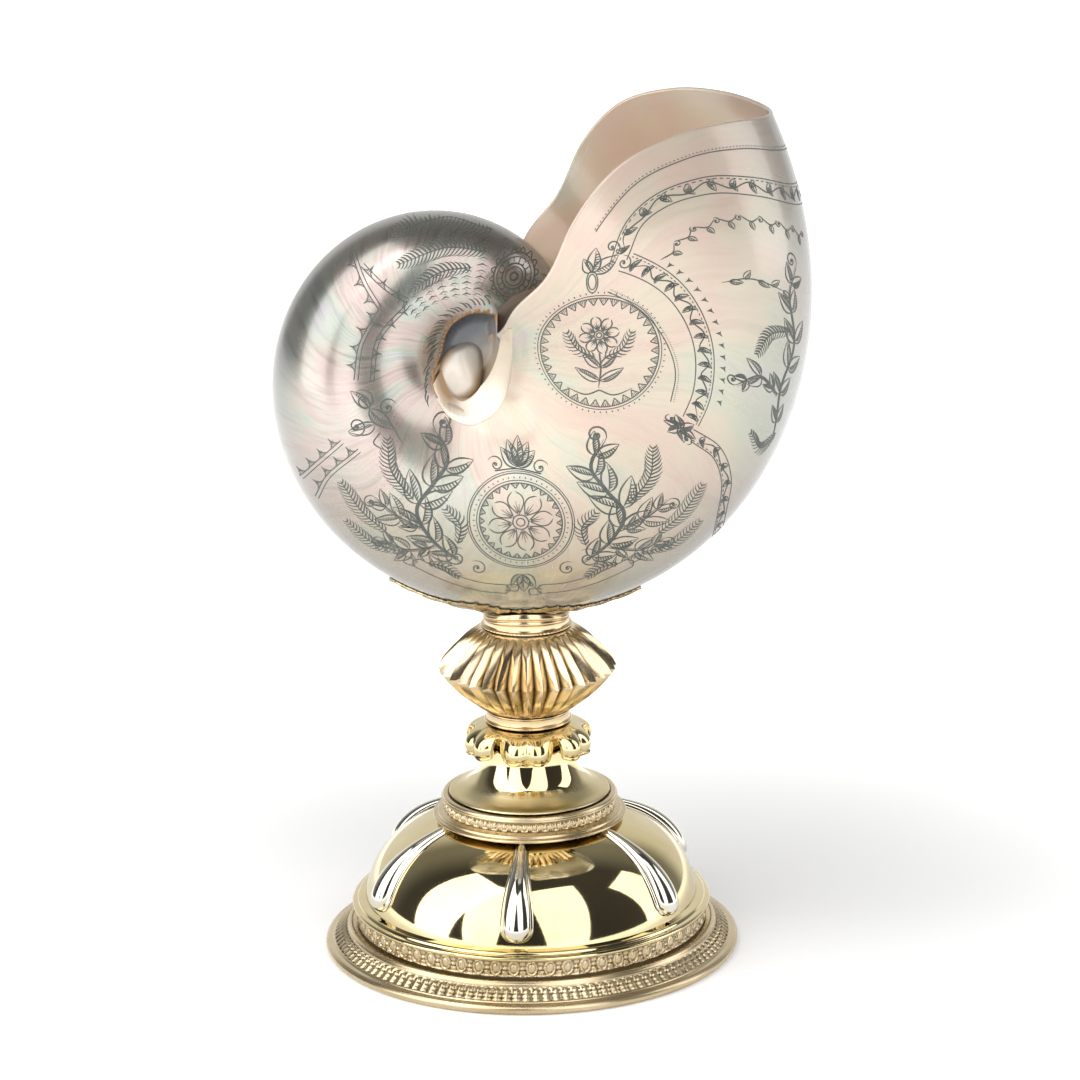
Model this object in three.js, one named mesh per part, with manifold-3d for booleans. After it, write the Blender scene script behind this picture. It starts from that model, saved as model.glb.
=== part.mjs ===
// A whole nautilus shell, cleaned down to the mother-of-pearl, on a silver-gilt stand.
// Millimetres, +Z up. The origin is under the middle of the whole object, on the surface
// it stands on. The coil of the shell points to -X, its mouth opens upwards and its
// outer lip stands at +X. Every piece is laid out round the stand's own axis, and the
// finished group is then moved along X to that origin.
import * as THREE from 'three';
import { mergeVertices } from 'three/addons/utils/BufferGeometryUtils.js';
import Module from 'manifold-3d';

const wasm = await Module();
wasm.setup();

// ---------------------------------------------------------------- driving dimensions
const STAND_X = -5.34;                // the stand's axis, from the middle of the object
const GAP = 0.3;                      // clearance kept between neighbouring pieces
const FACETS = 30;                    // sides of a turned piece
const FOOT_FACETS = 32;               // sides of the two widest rings of the foot
const BORE = 3.4;                     // hole down the stem for the tie rod

// Shell. Its surface grows along a spiral about an axis parallel to Y. "growth" counts
// turns: 0 at the lip, -1 one whorl earlier. "side" runs from 0 on the keel to +-1 at
// the umbilicus.
const SHELL_AXIS = [-15.7, 0, 175.4];
const SHELL_YAW = -2.0;               // degrees about Z
const SHELL_LEAN = 0.6;               // degrees about X
const LIP_ANGLE = 38.9;               // direction of the lip at the keel, degrees from +X
// control radii an eighth of a turn apart; their logarithms make a smooth spline
const WHORL_RADII = [29.6, 34.7, 40.8, 48.0, 53.8, 61.4, 70.5, 84.3, 94.2, 108.6, 146.1];
const EARLY_GROWTH = 1.29;            // log growth per turn of the earlier whorls and past the lip
// how far the lip and the growth lines run ahead of the keel, degrees, keel to umbilicus
const LIP_WAVE = [0, 1.3, 5.2, 10.7, 15.9, 16.7, 12.5, 13.0, 4.0];
const SECTION_SWEEP = 2.59;           // radians of the section curve, keel to umbilicus
const SECTION_DEPTH = 0.474;          // cosine term of the section's radius
const SECTION_SKEW = 0.0154;          // second cosine term
const SECTION_BREADTH = 0.451;        // half breadth for a radius of one
const SECTION_TAPER = -0.05;
const LIP_TAPER = -0.2335;            // narrows the keel side of the section towards the lip
const LIP_TAPER_TURNS = 0.4;
const UMBILICUS_SHIFT = [0.75, 5.5];  // the umbilicus sits off the spiral's axis, X and Z
const PIT_RADIUS = 0.06;              // floor edge of the umbilical pit, of whorl radius
const PIT_HALF_WIDTH = 0.15;          // half distance between the two pit floors
const WALL = 2.0;                     // thickness of the shell wall
const CHAMBER_TURNS = 0.38;           // length of the open living chamber
const CALLUS = 0.5;                   // layer laid over the earlier whorl in the mouth

// Stand, as radii and heights
const FOOT_R = 60.2;
const RIM_TOP = 2.8;
const LEAF_OUTER = [57.6, 3.4];
const LEAF_INNER = [53.7, 6.3];
const LEDGE_Z = 7.6;
const BAND_R = 51.0;
const BAND_WALL = 1.5;
const BAND_TOP = 12.7;
const RIDGE_R = 52.2;
const DOME_R = 48.9;                  // dome: |r/R|^n + |(z-z0)/H|^n = 1
const DOME_Z0 = 8.0;
const DOME_H = 33.5;
const DOME_POWER = 2.5;
const DOME_BASE_Z = 15.6;
const DOME_CROWN_Z = 39.2;
const DOME_WALL = 1.4;
const LOBES = 6;
const LOBE_FIRST = -95;               // direction of the front lobe, degrees from +X
const LOBE_LOW_Z = 17.8;
const LOBE_HIGH_Z = 37.4;
const LOBE_HALF_WIDTH = 4.2;
const LOBE_HEIGHT = 3.2;
const LOBE_THIN_END = 0.36;           // size at the top, of the size at the band
const DISC_R = 25.3;
const DISC_STEP_R = 28.2;
const DISC_TOP = 46.4;
const SPOOL_R = 13.1;
const SPOOL_FOOT_R = 23.3;
const SPOOL_TOP = 66.6;
const PETALS = 6;
const PETAL_FIRST = -92;
const PETAL_WALL = 1.0;
const PETAL_HUB_R = 12.6;
const PETAL_TOP = 67.8;
const PETAL_BEND = 112;               // degrees the petal turns down from hub to tip
const PETAL_SPREAD = 5.6;
const PETAL_FALL = 5.4;
const RING_R = 12.1;
const RING_Z = [68.2, 71.7];
const FLUTES = 36;
const KNOP_R = 25.7;
const FLUTE_DEPTH = 2.7;
const FLUTE_FADE_R = 12;              // the grooves run out at this radius
const KNOP_Z = [72.0, 96.4];
const NECK_Z = 96.7;
const NECK_R = 12.2;
const NECK_TOP = 100.7;               // rim height at the sides of the saddle
const SADDLE_START = 97.6;            // below this the neck is round and level
const SADDLE_RISE = 2.35;             // extra height of the rim at front and back
const PLATE_WALL = 0.9;
const PLATE_GROWTH = [-0.414, -0.258];
const PLATE_HALF_WIDTH = 12.8;
const ROD_R = 3.0;
const ROD_Z = [31.5, 99.2];

// ---------------------------------------------------------------- small helpers
const rad = THREE.MathUtils.degToRad;
const lerp = THREE.MathUtils.lerp;
const smooth01 = (x) => x * x * (3 - 2 * x);

const GILT = { color: 0xd8c48a, roughness: 0.22, metalness: 1.0 };
const MATTE_GILT = { color: 0xc9b684, roughness: 0.45, metalness: 1.0 };
const SILVER = { color: 0xdcdad2, roughness: 0.15, metalness: 1.0 };
const IRON = { color: 0x8c8878, roughness: 0.5, metalness: 0.9 };
const PEARL = { color: 0xe6dfd4, roughness: 0.25, metalness: 0.0 };

const group = new THREE.Group();

function add(name, geometry, finish) {
  const mesh = new THREE.Mesh(geometry, new THREE.MeshStandardMaterial(finish));
  mesh.name = name;
  group.add(mesh);
}

function signedVolume(points, faces) {
  let sum = 0;
  for (const [a, b, c] of faces) {
    sum += points[a].dot(new THREE.Vector3().crossVectors(points[b], points[c])) / 6;
  }
  return sum;
}

// A closed body from points and triangles, turned so that its faces look outwards.
function body(points, faces) {
  const flip = signedVolume(points, faces) < 0;
  const geometry = new THREE.BufferGeometry();
  const coordinates = points.flatMap((p) => p.toArray());
  geometry.setAttribute('position', new THREE.Float32BufferAttribute(coordinates, 3));
  geometry.setIndex(faces.flatMap(([a, b, c]) => (flip ? [a, c, b] : [a, b, c])));
  geometry.computeVertexNormals();
  return geometry;
}

// A turned piece: the closed outline of [radius, height] pairs swept round Z.
// "place" may move each swept point.
function turned(outline, sides = FACETS, place = (r, z, angle) => [r, z]) {
  const points = [];
  for (let i = 0; i < sides; i += 1) {
    const angle = (i / sides) * 2 * Math.PI;
    for (const [r0, z0] of outline) {
      const [r, z] = place(r0, z0, angle);
      points.push(new THREE.Vector3(r * Math.cos(angle), r * Math.sin(angle), z));
    }
  }
  const n = outline.length;
  const faces = [];
  for (let i = 0; i < sides; i += 1) {
    const next = (i + 1) % sides;
    for (let k = 0; k < n; k += 1) {
      const up = (k + 1) % n;
      faces.push([i * n + k, next * n + k, next * n + up]);
      faces.push([i * n + k, next * n + up, i * n + up]);
    }
  }
  return body(points, faces);
}

function toManifold(geometry) {
  const bare = geometry.clone();
  bare.deleteAttribute('normal');
  bare.deleteAttribute('uv');
  const merged = mergeVertices(bare, 1e-4);
  return new wasm.Manifold(new wasm.Mesh({
    numProp: 3,
    vertProperties: Float32Array.from(merged.attributes.position.array),
    triVerts: Uint32Array.from(merged.index.array),
  }));
}

function fromManifold(solid) {
  const mesh = solid.getMesh();
  const geometry = new THREE.BufferGeometry();
  geometry.setAttribute('position', new THREE.Float32BufferAttribute(mesh.vertProperties, 3));
  geometry.setIndex(Array.from(mesh.triVerts));
  geometry.computeVertexNormals();
  return geometry;
}

// ---------------------------------------------------------------- the shell's surface
const LIP_WAVE_STEPS = LIP_WAVE.length - 1;

function lipWave(a) {
  const s = Math.min(a * LIP_WAVE_STEPS, LIP_WAVE_STEPS - 1e-9);
  const i = Math.floor(s);
  const f = s - i;
  const v = (k) => LIP_WAVE[Math.min(Math.abs(k), LIP_WAVE_STEPS)];
  const slope = (k) => (v(k + 1) - v(k - 1)) / 2;
  const h = smooth01(f);
  const bend = slope(i) * f * (1 - f) ** 2 - slope(i + 1) * f * f * (1 - f);
  return rad(lerp(v(i), v(i + 1), h) + bend);
}

function whorlRadius(growth) {
  const steps = WHORL_RADII.length - 3;
  const s = THREE.MathUtils.clamp((growth + 1) * steps, 0, steps);
  const i = Math.min(Math.floor(s), steps - 1);
  const f = s - i;
  const weights = [
    (1 - f) ** 3,
    3 * f ** 3 - 6 * f ** 2 + 4,
    -3 * f ** 3 + 3 * f ** 2 + 3 * f + 1,
    f ** 3,
  ];
  let log = 0;
  weights.forEach((w, k) => { log += (w / 6) * Math.log(WHORL_RADII[i + k]); });
  if (growth < -1) log += EARLY_GROWTH * (growth + 1);
  if (growth > 0) log += EARLY_GROWTH * growth;
  return Math.exp(log);
}

// Half section for a whorl radius of one: distance from the axis and half breadth.
function section(growth, a) {
  const taper = LIP_TAPER * (1 - smooth01(THREE.MathUtils.clamp(-growth / LIP_TAPER_TURNS, 0, 1)));
  const c = Math.cos(a * SECTION_SWEEP);
  const s = Math.sin(a * SECTION_SWEEP);
  const r = 1 - SECTION_DEPTH - SECTION_SKEW + SECTION_DEPTH * c + SECTION_SKEW * (2 * c * c - 1);
  const y = SECTION_BREADTH * s * (1 + taper * c + SECTION_TAPER * c * c);
  return [r, y];
}

const shellTurn = new THREE.Matrix4()
  .makeTranslation(...SHELL_AXIS)
  .multiply(new THREE.Matrix4().makeRotationZ(rad(SHELL_YAW)))
  .multiply(new THREE.Matrix4().makeRotationX(rad(SHELL_LEAN)));

// Point at an angle round the axis, from section values scaled by the whorl radius.
function whorlPoint(angle, r, y, shift) {
  const x = r * Math.cos(angle) + UMBILICUS_SHIFT[0] * shift;
  const z = r * Math.sin(angle) + UMBILICUS_SHIFT[1] * shift;
  return new THREE.Vector3(x, y, z).applyMatrix4(shellTurn);
}

function shellPoint(growth, side) {
  const a = Math.abs(side);
  const angle = rad(LIP_ANGLE) + 2 * Math.PI * growth + lipWave(a);
  const radius = whorlRadius((angle - rad(LIP_ANGLE)) / (2 * Math.PI));
  const [r, y] = section(growth, a);
  return whorlPoint(angle, r * radius, Math.sign(side) * y * radius, smooth01(a));
}

// Outward direction of the surface, from its two tangents.
function shellNormal(growth, side) {
  const step = 1e-3;
  const alongGrowth = shellPoint(growth + step, side).sub(shellPoint(growth - step, side));
  const low = Math.max(side - step, -1);
  const high = Math.min(side + step, 1);
  const alongSide = shellPoint(growth, high).sub(shellPoint(growth, low));
  return alongSide.cross(alongGrowth).normalize();
}

const offsetPoint = (growth, side, distance) =>
  shellPoint(growth, side).addScaledVector(shellNormal(growth, side), distance);

// ---------------------------------------------------------------- shell
const spread = (from, to, count) => (
  Array.from({ length: count + 1 }, (_, i) => lerp(from, to, i / count))
);

// The last whorl as one solid: rows run with growth, columns from pit to pit over the
// keel, and the open end is closed across the mouth. Each pit floor is a low cone.
function whorlSolid(rows, columns) {
  const sides = spread(-1, 1, columns);
  const points = [];
  for (let i = 0; i <= rows; i += 1) {
    const growth = -1 + i / rows;
    const pit = (sign) => {
      const angle = rad(LIP_ANGLE) + 2 * Math.PI * growth + lipWave(1);
      const radius = whorlRadius(growth);
      return whorlPoint(angle, PIT_RADIUS * radius, sign * PIT_HALF_WIDTH * radius, 1);
    };
    points.push(pit(-1), ...sides.map((side) => shellPoint(growth, side)), pit(1));
  }
  const n = columns + 3;
  const total = rows + 1;
  const faces = [];
  for (let i = 0; i < total; i += 1) {
    const next = (i + 1) % total;
    for (let k = 0; k < n - 1; k += 1) {
      faces.push([i * n + k, next * n + k, next * n + k + 1]);
      faces.push([i * n + k, next * n + k + 1, i * n + k + 1]);
    }
  }
  for (const [column, sign] of [[0, -1], [n - 1, 1]]) {
    const centre = points.length;
    points.push(whorlPoint(0, 0, sign * PIT_HALF_WIDTH * whorlRadius(-0.7), 1));
    for (let i = 0; i < total; i += 1) {
      const next = (i + 1) % total;
      const edge = [i * n + column, next * n + column];
      faces.push(sign < 0 ? [centre, edge[1], edge[0]] : [centre, edge[0], edge[1]]);
    }
  }
  return body(points, faces);
}

// The living chamber: under the outer wall, over the earlier whorl, out past the lip.
function chamberSolid(rows, outerColumns, innerColumns) {
  const outerSides = spread(-0.94, 0.94, outerColumns);
  const innerSides = spread(0.8, -0.8, innerColumns);
  const points = [];
  for (let i = 0; i <= rows; i += 1) {
    const growth = lerp(-CHAMBER_TURNS, 0.05, i / rows);
    outerSides.forEach((side) => points.push(offsetPoint(growth, side, -WALL)));
    innerSides.forEach((side) => points.push(offsetPoint(growth - 1, side, CALLUS)));
  }
  const n = outerSides.length + innerSides.length;
  const faces = [];
  for (let i = 0; i < rows; i += 1) {
    for (let k = 0; k < n; k += 1) {
      const up = (k + 1) % n;
      faces.push([i * n + k, (i + 1) * n + k, (i + 1) * n + up]);
      faces.push([i * n + k, (i + 1) * n + up, i * n + up]);
    }
  }
  // each end is closed by quads that bridge the outer wall and the earlier whorl
  for (const [row, forward] of [[0, true], [rows, false]]) {
    const start = row * n;
    const last = outerColumns;
    for (let k = 0; k < last; k += 1) {
      const innerAt = (j) => start + outerSides.length + Math.round(((last - j) / last) * innerColumns);
      const a = start + k;
      const b = start + k + 1;
      const c = innerAt(k + 1);
      const d = innerAt(k);
      const triangles = c === d ? [[a, b, c]] : [[a, b, c], [a, c, d]];
      triangles.forEach((t) => faces.push(forward ? t : [t[0], t[2], t[1]]));
    }
  }
  return body(points, faces);
}

const whole = toManifold(whorlSolid(34, 18));
const chamber = toManifold(chamberSolid(12, 16, 6));
add('nautilus_shell', fromManifold(whole.subtract(chamber)), PEARL);

// ---------------------------------------------------------------- calyx under the shell
// A thin leaf-edged plate that follows the underside of the keel.
function platePoint(u, v, offset) {
  const growth = lerp(...PLATE_GROWTH, u);
  const middle = 2 * u - 1;
  const leaf = 0.34 + 0.66 * (1 - middle * middle) ** 1.5;
  const scallop = 1 + 0.12 * Math.cos(6 * Math.PI * u);
  const halfWidth = PLATE_HALF_WIDTH * leaf * scallop;
  const side = (v * halfWidth) / (2 * SECTION_BREADTH * whorlRadius(growth));
  return offsetPoint(growth, side, offset);
}

function sheetBody(pointAt, rows, columns, low, high) {
  const points = [];
  for (const offset of [low, high]) {
    for (let i = 0; i <= rows; i += 1) {
      for (let k = 0; k <= columns; k += 1) {
        points.push(pointAt(i / rows, (2 * k) / columns - 1, offset));
      }
    }
  }
  const layer = (rows + 1) * (columns + 1);
  const at = (i, k) => i * (columns + 1) + k;
  const faces = [];
  const quad = (a, b, c, d) => faces.push([a, b, c], [a, c, d]);
  for (let i = 0; i < rows; i += 1) {
    for (let k = 0; k < columns; k += 1) {
      quad(at(i, k), at(i + 1, k), at(i + 1, k + 1), at(i, k + 1));
      quad(layer + at(i, k), layer + at(i, k + 1), layer + at(i + 1, k + 1), layer + at(i + 1, k));
    }
    quad(at(i, 0), layer + at(i, 0), layer + at(i + 1, 0), at(i + 1, 0));
    quad(at(i, columns), at(i + 1, columns), layer + at(i + 1, columns), layer + at(i, columns));
  }
  for (let k = 0; k < columns; k += 1) {
    quad(at(0, k), at(0, k + 1), layer + at(0, k + 1), layer + at(0, k));
    quad(at(rows, k), layer + at(rows, k), layer + at(rows, k + 1), at(rows, k + 1));
  }
  return body(points, faces);
}

add('calyx_plate', sheetBody(platePoint, 14, 4, GAP, GAP + PLATE_WALL), MATTE_GILT);

// ---------------------------------------------------------------- foot
add('foot_flange', turned([
  [56.2, 0], [FOOT_R - 0.9, 0], [FOOT_R, 0.9], [FOOT_R, 2.0], [FOOT_R - 0.8, RIM_TOP], [57.9, RIM_TOP],
  LEAF_OUTER, LEAF_INNER, [53.2, LEDGE_Z - 0.2], [52.8, LEDGE_Z],
  [BAND_R - BAND_WALL, LEDGE_Z], [BAND_R - BAND_WALL, 6.2], [52.6, 5.8],
], FOOT_FACETS), MATTE_GILT);

add('oval_band', turned([
  [BAND_R - BAND_WALL, LEDGE_Z + GAP], [BAND_R, LEDGE_Z + GAP],
  [BAND_R, BAND_TOP], [BAND_R - BAND_WALL, BAND_TOP],
], FOOT_FACETS), MATTE_GILT);

function domeRadius(z) {
  const rise = Math.abs((z - DOME_Z0) / DOME_H);
  return DOME_R * (1 - rise ** DOME_POWER) ** (1 / DOME_POWER);
}

function domeOutline() {
  const heights = [20.5, 26, 31, 35.2, 38.3];
  const skin = heights.map((z) => [domeRadius(z), z]);
  const lining = [...heights].reverse().map((z) => [domeRadius(z) - DOME_WALL, z - DOME_WALL * 0.8]);
  const ridge = [
    [BAND_R - BAND_WALL, BAND_TOP + GAP], [RIDGE_R - 0.2, BAND_TOP + GAP], [RIDGE_R, 13.7],
    [RIDGE_R - 0.4, 14.4], [50.6, 14.7], [50.1, 15.3],
  ];
  const crown = [
    [24.0, DOME_CROWN_Z], [BORE, DOME_CROWN_Z],
    [BORE, DOME_CROWN_Z - DOME_WALL], [22.0, DOME_CROWN_Z - DOME_WALL],
  ];
  return [
    ...ridge, [domeRadius(DOME_BASE_Z), DOME_BASE_Z], ...skin, ...crown,
    ...lining.slice(1), [domeRadius(DOME_BASE_Z) - DOME_WALL, DOME_BASE_Z],
  ];
}

add('foot_dome', turned(domeOutline()), GILT);

// Six tear-shaped lobes lie on the dome, thin at the top and full near the band.
function lobe(direction) {
  const stations = 9;
  const across = 5;
  const clearance = GAP + 0.1;
  const onDome = (t, offset, height) => {
    const z = lerp(LOBE_HIGH_Z, LOBE_LOW_Z, t);
    const slope = (domeRadius(z + 0.05) - domeRadius(z - 0.05)) / 0.1;
    const length = Math.hypot(1, slope);
    const r = domeRadius(z) + height / length;
    const angle = rad(direction) + offset / domeRadius(z);
    return new THREE.Vector3(r * Math.cos(angle), r * Math.sin(angle), z - (height * slope) / length);
  };
  const fullness = (t) => {
    const rounding = (2 * Math.max(t - 0.5, 0)) ** 6;        // closes the full lower end
    return lerp(LOBE_THIN_END, 1, smooth01(t)) * Math.sqrt(Math.max(0, 1 - rounding));
  };
  const points = [onDome(0, 0, clearance)];
  for (let i = 1; i < stations; i += 1) {
    const t = i / stations;
    const f = fullness(t);
    for (let k = 0; k <= across; k += 1) {
      const v = (2 * k) / across - 1;
      const height = LOBE_HEIGHT * f * Math.sqrt(1 - v * v);
      points.push(onDome(t, v * f * LOBE_HALF_WIDTH, clearance + height));
    }
  }
  points.push(onDome(1, 0, clearance));
  const n = across + 1;
  const at = (i, k) => 1 + (i - 1) * n + k;
  const end = points.length - 1;
  const faces = [];
  for (let k = 0; k < across; k += 1) {
    faces.push([0, at(1, k), at(1, k + 1)]);
    faces.push([end, at(stations - 1, k + 1), at(stations - 1, k)]);
    for (let i = 1; i < stations - 1; i += 1) {
      faces.push([at(i, k), at(i + 1, k), at(i + 1, k + 1)], [at(i, k), at(i + 1, k + 1), at(i, k + 1)]);
    }
  }
  faces.push([0, at(1, across), at(1, 0)], [end, at(stations - 1, 0), at(stations - 1, across)]);
  for (let i = 1; i < stations - 1; i += 1) {
    faces.push([at(i, 0), at(i, across), at(i + 1, across)]);
    faces.push([at(i, 0), at(i + 1, across), at(i + 1, 0)]);
  }
  return body(points, faces);
}

for (let i = 0; i < LOBES; i += 1) {
  add(`foot_lobe_${i + 1}`, lobe(LOBE_FIRST + (360 / LOBES) * i), SILVER);
}

// ---------------------------------------------------------------- collar disc and stem
add('collar_disc', turned([
  [BORE, DOME_CROWN_Z + GAP], [DISC_STEP_R - 0.4, DOME_CROWN_Z + GAP],
  [DISC_STEP_R, 39.9], [DISC_STEP_R - 0.4, 40.4],
  [26.6, 40.7], [26.4, 41.3], [DISC_R - 0.4, 41.6], [DISC_R - 0.4, 44.9],
  [DISC_R + 0.2, 45.3], [DISC_R, 46.2], [DISC_R - 0.8, DISC_TOP], [BORE, DISC_TOP],
]), GILT);

add('stem_spool', turned([
  [BORE, DISC_TOP + GAP], [SPOOL_FOOT_R, DISC_TOP + GAP], [SPOOL_FOOT_R, 47.0], [20.9, 48.1],
  [17.6, 50.1], [15.2, 52.2], [14.0, 54.4], [SPOOL_R, 58.0], [12.9, 61.0], [12.2, 64.5],
  [11.0, SPOOL_TOP], [BORE, SPOOL_TOP],
]), GILT);

// Petals droop from a small hub; each rim has two lobes and a middle point, and deep
// round notches part the petals.
function petalCollar(sides, steps) {
  // t runs from 0 at the hub to 1 at the tip of a petal
  const droop = (t) => {
    const bend = t * rad(PETAL_BEND);
    const spreadOut = PETAL_SPREAD * Math.sin(Math.min(bend, rad(100)));
    const fall = PETAL_FALL * (1 - Math.cos(bend)) + 2.2 * t * t;
    return [PETAL_HUB_R + spreadOut, PETAL_TOP - fall];
  };
  const reach = (angle) => {
    const phase = (((angle - rad(PETAL_FIRST)) * PETALS) / (2 * Math.PI)) % 1;
    const p = Math.abs(((phase + 1.5) % 1) - 0.5) * 2;      // 0 mid petal, 1 in the notch
    const rim = 0.97 - 0.07 * Math.sin(Math.PI * Math.min(p / 0.5, 1)) * (p < 0.5 ? 1 : 0);
    const notch = 0.62 * smooth01(THREE.MathUtils.clamp((p - 0.7) / 0.3, 0, 1));
    return rim - notch;
  };
  const points = [];
  for (let i = 0; i < sides; i += 1) {
    const angle = rad(PETAL_FIRST) + (i / sides) * 2 * Math.PI;
    const put = (r, z) => points.push(new THREE.Vector3(r * Math.cos(angle), r * Math.sin(angle), z));
    put(BORE, PETAL_TOP);
    for (let k = 0; k <= steps; k += 1) put(...droop((k / steps) * reach(angle)));
    for (let k = steps; k >= 0; k -= 1) {
      const [r, z] = droop((k / steps) * reach(angle));
      put(r - PETAL_WALL * Math.min(1, k / steps + 0.2), z - PETAL_WALL * (1 - 0.7 * (k / steps)));
    }
    put(BORE, PETAL_TOP - PETAL_WALL);
  }
  const n = points.length / sides;
  const faces = [];
  for (let i = 0; i < sides; i += 1) {
    const next = (i + 1) % sides;
    for (let k = 0; k < n; k += 1) {
      const up = (k + 1) % n;
      faces.push([i * n + k, next * n + k, next * n + up]);
      faces.push([i * n + k, next * n + up, i * n + up]);
    }
  }
  return body(points, faces);
}

add('petal_collar', petalCollar(42, 3), GILT);

add('stem_ring', turned([
  [BORE, RING_Z[0]], [RING_R + 0.5, RING_Z[0]], [RING_R + 0.5, 68.9], [RING_R, 69.2],
  [RING_R, 71.2], [RING_R + 0.3, RING_Z[1]], [BORE, RING_Z[1]],
], 28), GILT);

// Two fluted cones, rim to rim: sharp ridges with deep grooves between them.
function knop() {
  const outline = [
    [12.4, KNOP_Z[0]], [19.2, 76.9], [KNOP_R, 84.0], [20.9, 90.2], [13.2, KNOP_Z[1]],
  ];
  const ring = [[BORE, KNOP_Z[0]], ...outline, [BORE, KNOP_Z[1]]];
  return turned(ring, FLUTES * 2, (r, z, angle) => {
    const groove = Math.round((angle * FLUTES) / Math.PI) % 2 === 1;
    const depth = FLUTE_DEPTH * THREE.MathUtils.clamp((r - FLUTE_FADE_R) / (KNOP_R - FLUTE_FADE_R), 0, 1);
    return [groove ? r - depth : r, z];
  });
}

add('knop', knop(), GILT);

add('neck_ring', turned([
  [BORE, NECK_Z], [NECK_R + 0.9, NECK_Z], [NECK_R + 0.9, 97.3], [NECK_R, SADDLE_START],
  [NECK_R - 0.1, 98.4], [NECK_R + 0.3, 99.0], [NECK_R, 99.5], [NECK_R + 0.4, 99.9],
  [NECK_R, NECK_TOP], [BORE, 99.0],
], FACETS, (r, z, angle) => {
  const rise = (SADDLE_RISE * Math.max(z - SADDLE_START, 0)) / (NECK_TOP - SADDLE_START);
  return [r, r > NECK_R / 2 ? z + rise * Math.sin(angle) ** 2 : z];
}), GILT);

// ---------------------------------------------------------------- tie rod and its nut
const rod = new THREE.CylinderGeometry(ROD_R, ROD_R, ROD_Z[1] - ROD_Z[0], 16);
rod.rotateX(Math.PI / 2);
rod.translate(0, 0, (ROD_Z[0] + ROD_Z[1]) / 2);
add('tie_rod', rod, IRON);

function hexNut(acrossFlats, low, high) {
  const ring = (radius, sides, hole) => {
    const path = hole ? new THREE.Path() : new THREE.Shape();
    for (let i = 0; i < sides; i += 1) {
      const angle = (i / sides) * 2 * Math.PI;
      const xy = [radius * Math.cos(angle), radius * Math.sin(angle)];
      if (i === 0) path.moveTo(...xy);
      else path.lineTo(...xy);
    }
    path.closePath();
    return path;
  };
  const shape = ring(acrossFlats / Math.sqrt(3), 6, false);
  shape.holes.push(ring(BORE, 12, true));
  const geometry = new THREE.ExtrudeGeometry(shape, { depth: high - low, bevelEnabled: false });
  geometry.translate(0, 0, low);
  return geometry;
}

add('tie_nut', hexNut(11, 33.0, DOME_CROWN_Z - DOME_WALL - GAP), IRON);

group.position.x = STAND_X;

export default group;
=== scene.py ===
"""Looks of a whole nautilus shell, engraved and set on a silver-gilt stand.

Lengths are millimetres about the stand's own axis; mesh_piece() moves them into the
frame, whose unit is the metre.
"""
import math

import bpy
import numpy as np
from mathutils import Matrix, Vector
from mathutils.bvhtree import BVHTree

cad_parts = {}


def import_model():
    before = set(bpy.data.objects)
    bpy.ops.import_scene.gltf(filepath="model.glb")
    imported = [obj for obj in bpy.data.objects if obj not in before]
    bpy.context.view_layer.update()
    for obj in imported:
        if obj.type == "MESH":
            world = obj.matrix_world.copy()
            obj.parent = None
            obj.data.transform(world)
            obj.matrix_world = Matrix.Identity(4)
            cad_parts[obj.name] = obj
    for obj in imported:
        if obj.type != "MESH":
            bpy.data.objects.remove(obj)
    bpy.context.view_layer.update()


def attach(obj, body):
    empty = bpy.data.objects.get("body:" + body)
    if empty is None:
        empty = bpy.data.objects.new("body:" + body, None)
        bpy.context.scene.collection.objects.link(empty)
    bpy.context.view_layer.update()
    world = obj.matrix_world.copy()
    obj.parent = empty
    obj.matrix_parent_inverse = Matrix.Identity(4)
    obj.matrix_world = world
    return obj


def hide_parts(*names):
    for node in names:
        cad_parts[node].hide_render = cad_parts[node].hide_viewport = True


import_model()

MM = 0.001
STAND_X = -5.34                       # the stand's axis from the middle of the object
TAU = 2 * math.pi


# ------------------------------------------------------------------ numbers and curves
def smooth01(x):
    x = np.clip(x, 0, 1)
    return x * x * (3 - 2 * x)


def bump01(x, low, high, soft):
    """1 between low and high, falling to 0 over soft on both sides."""
    return smooth01((x - low) / soft + 1) * (1 - smooth01((x - high) / soft))


def curve(points, step):
    """A smooth line through the points, with a point about every step."""
    p = np.array(points, float)
    if len(p) == 2:
        n = max(2, int(np.linalg.norm(p[1] - p[0]) / step) + 1)
        t = np.linspace(0, 1, n)[:, None]
        return p[0] * (1 - t) + p[1] * t
    ends = np.vstack([2 * p[0] - p[1], p, 2 * p[-1] - p[-2]])
    out = []
    for i in range(len(p) - 1):
        a, b, c, d = ends[i:i + 4]
        n = max(2, int(np.linalg.norm(c - b) / step) + 1)
        t = np.linspace(0, 1, n, endpoint=False)[:, None]
        out.append(0.5 * (2 * b + (c - a) * t + (2 * a - 5 * b + 4 * c - d) * t ** 2
                          + (3 * b - a - 3 * c + d) * t ** 3))
    out.append(p[-1:])
    return np.vstack(out)


def rounded(outline, radius):
    """A closed outline with each corner turned into a curve of four points."""
    p = np.array(outline, float)
    out = []
    for i in range(len(p)):
        here, before, after = p[i], p[i - 1], p[(i + 1) % len(p)]
        back, on = before - here, after - here
        back_length, on_length = np.linalg.norm(back), np.linalg.norm(on)
        start = here + back / back_length * min(radius, back_length * 0.45)
        end = here + on / on_length * min(radius, on_length * 0.45)
        for t in np.linspace(0, 1, 4):
            out.append((1 - t) ** 2 * start + 2 * t * (1 - t) * here + t * t * end)
    return np.array(out)


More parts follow.
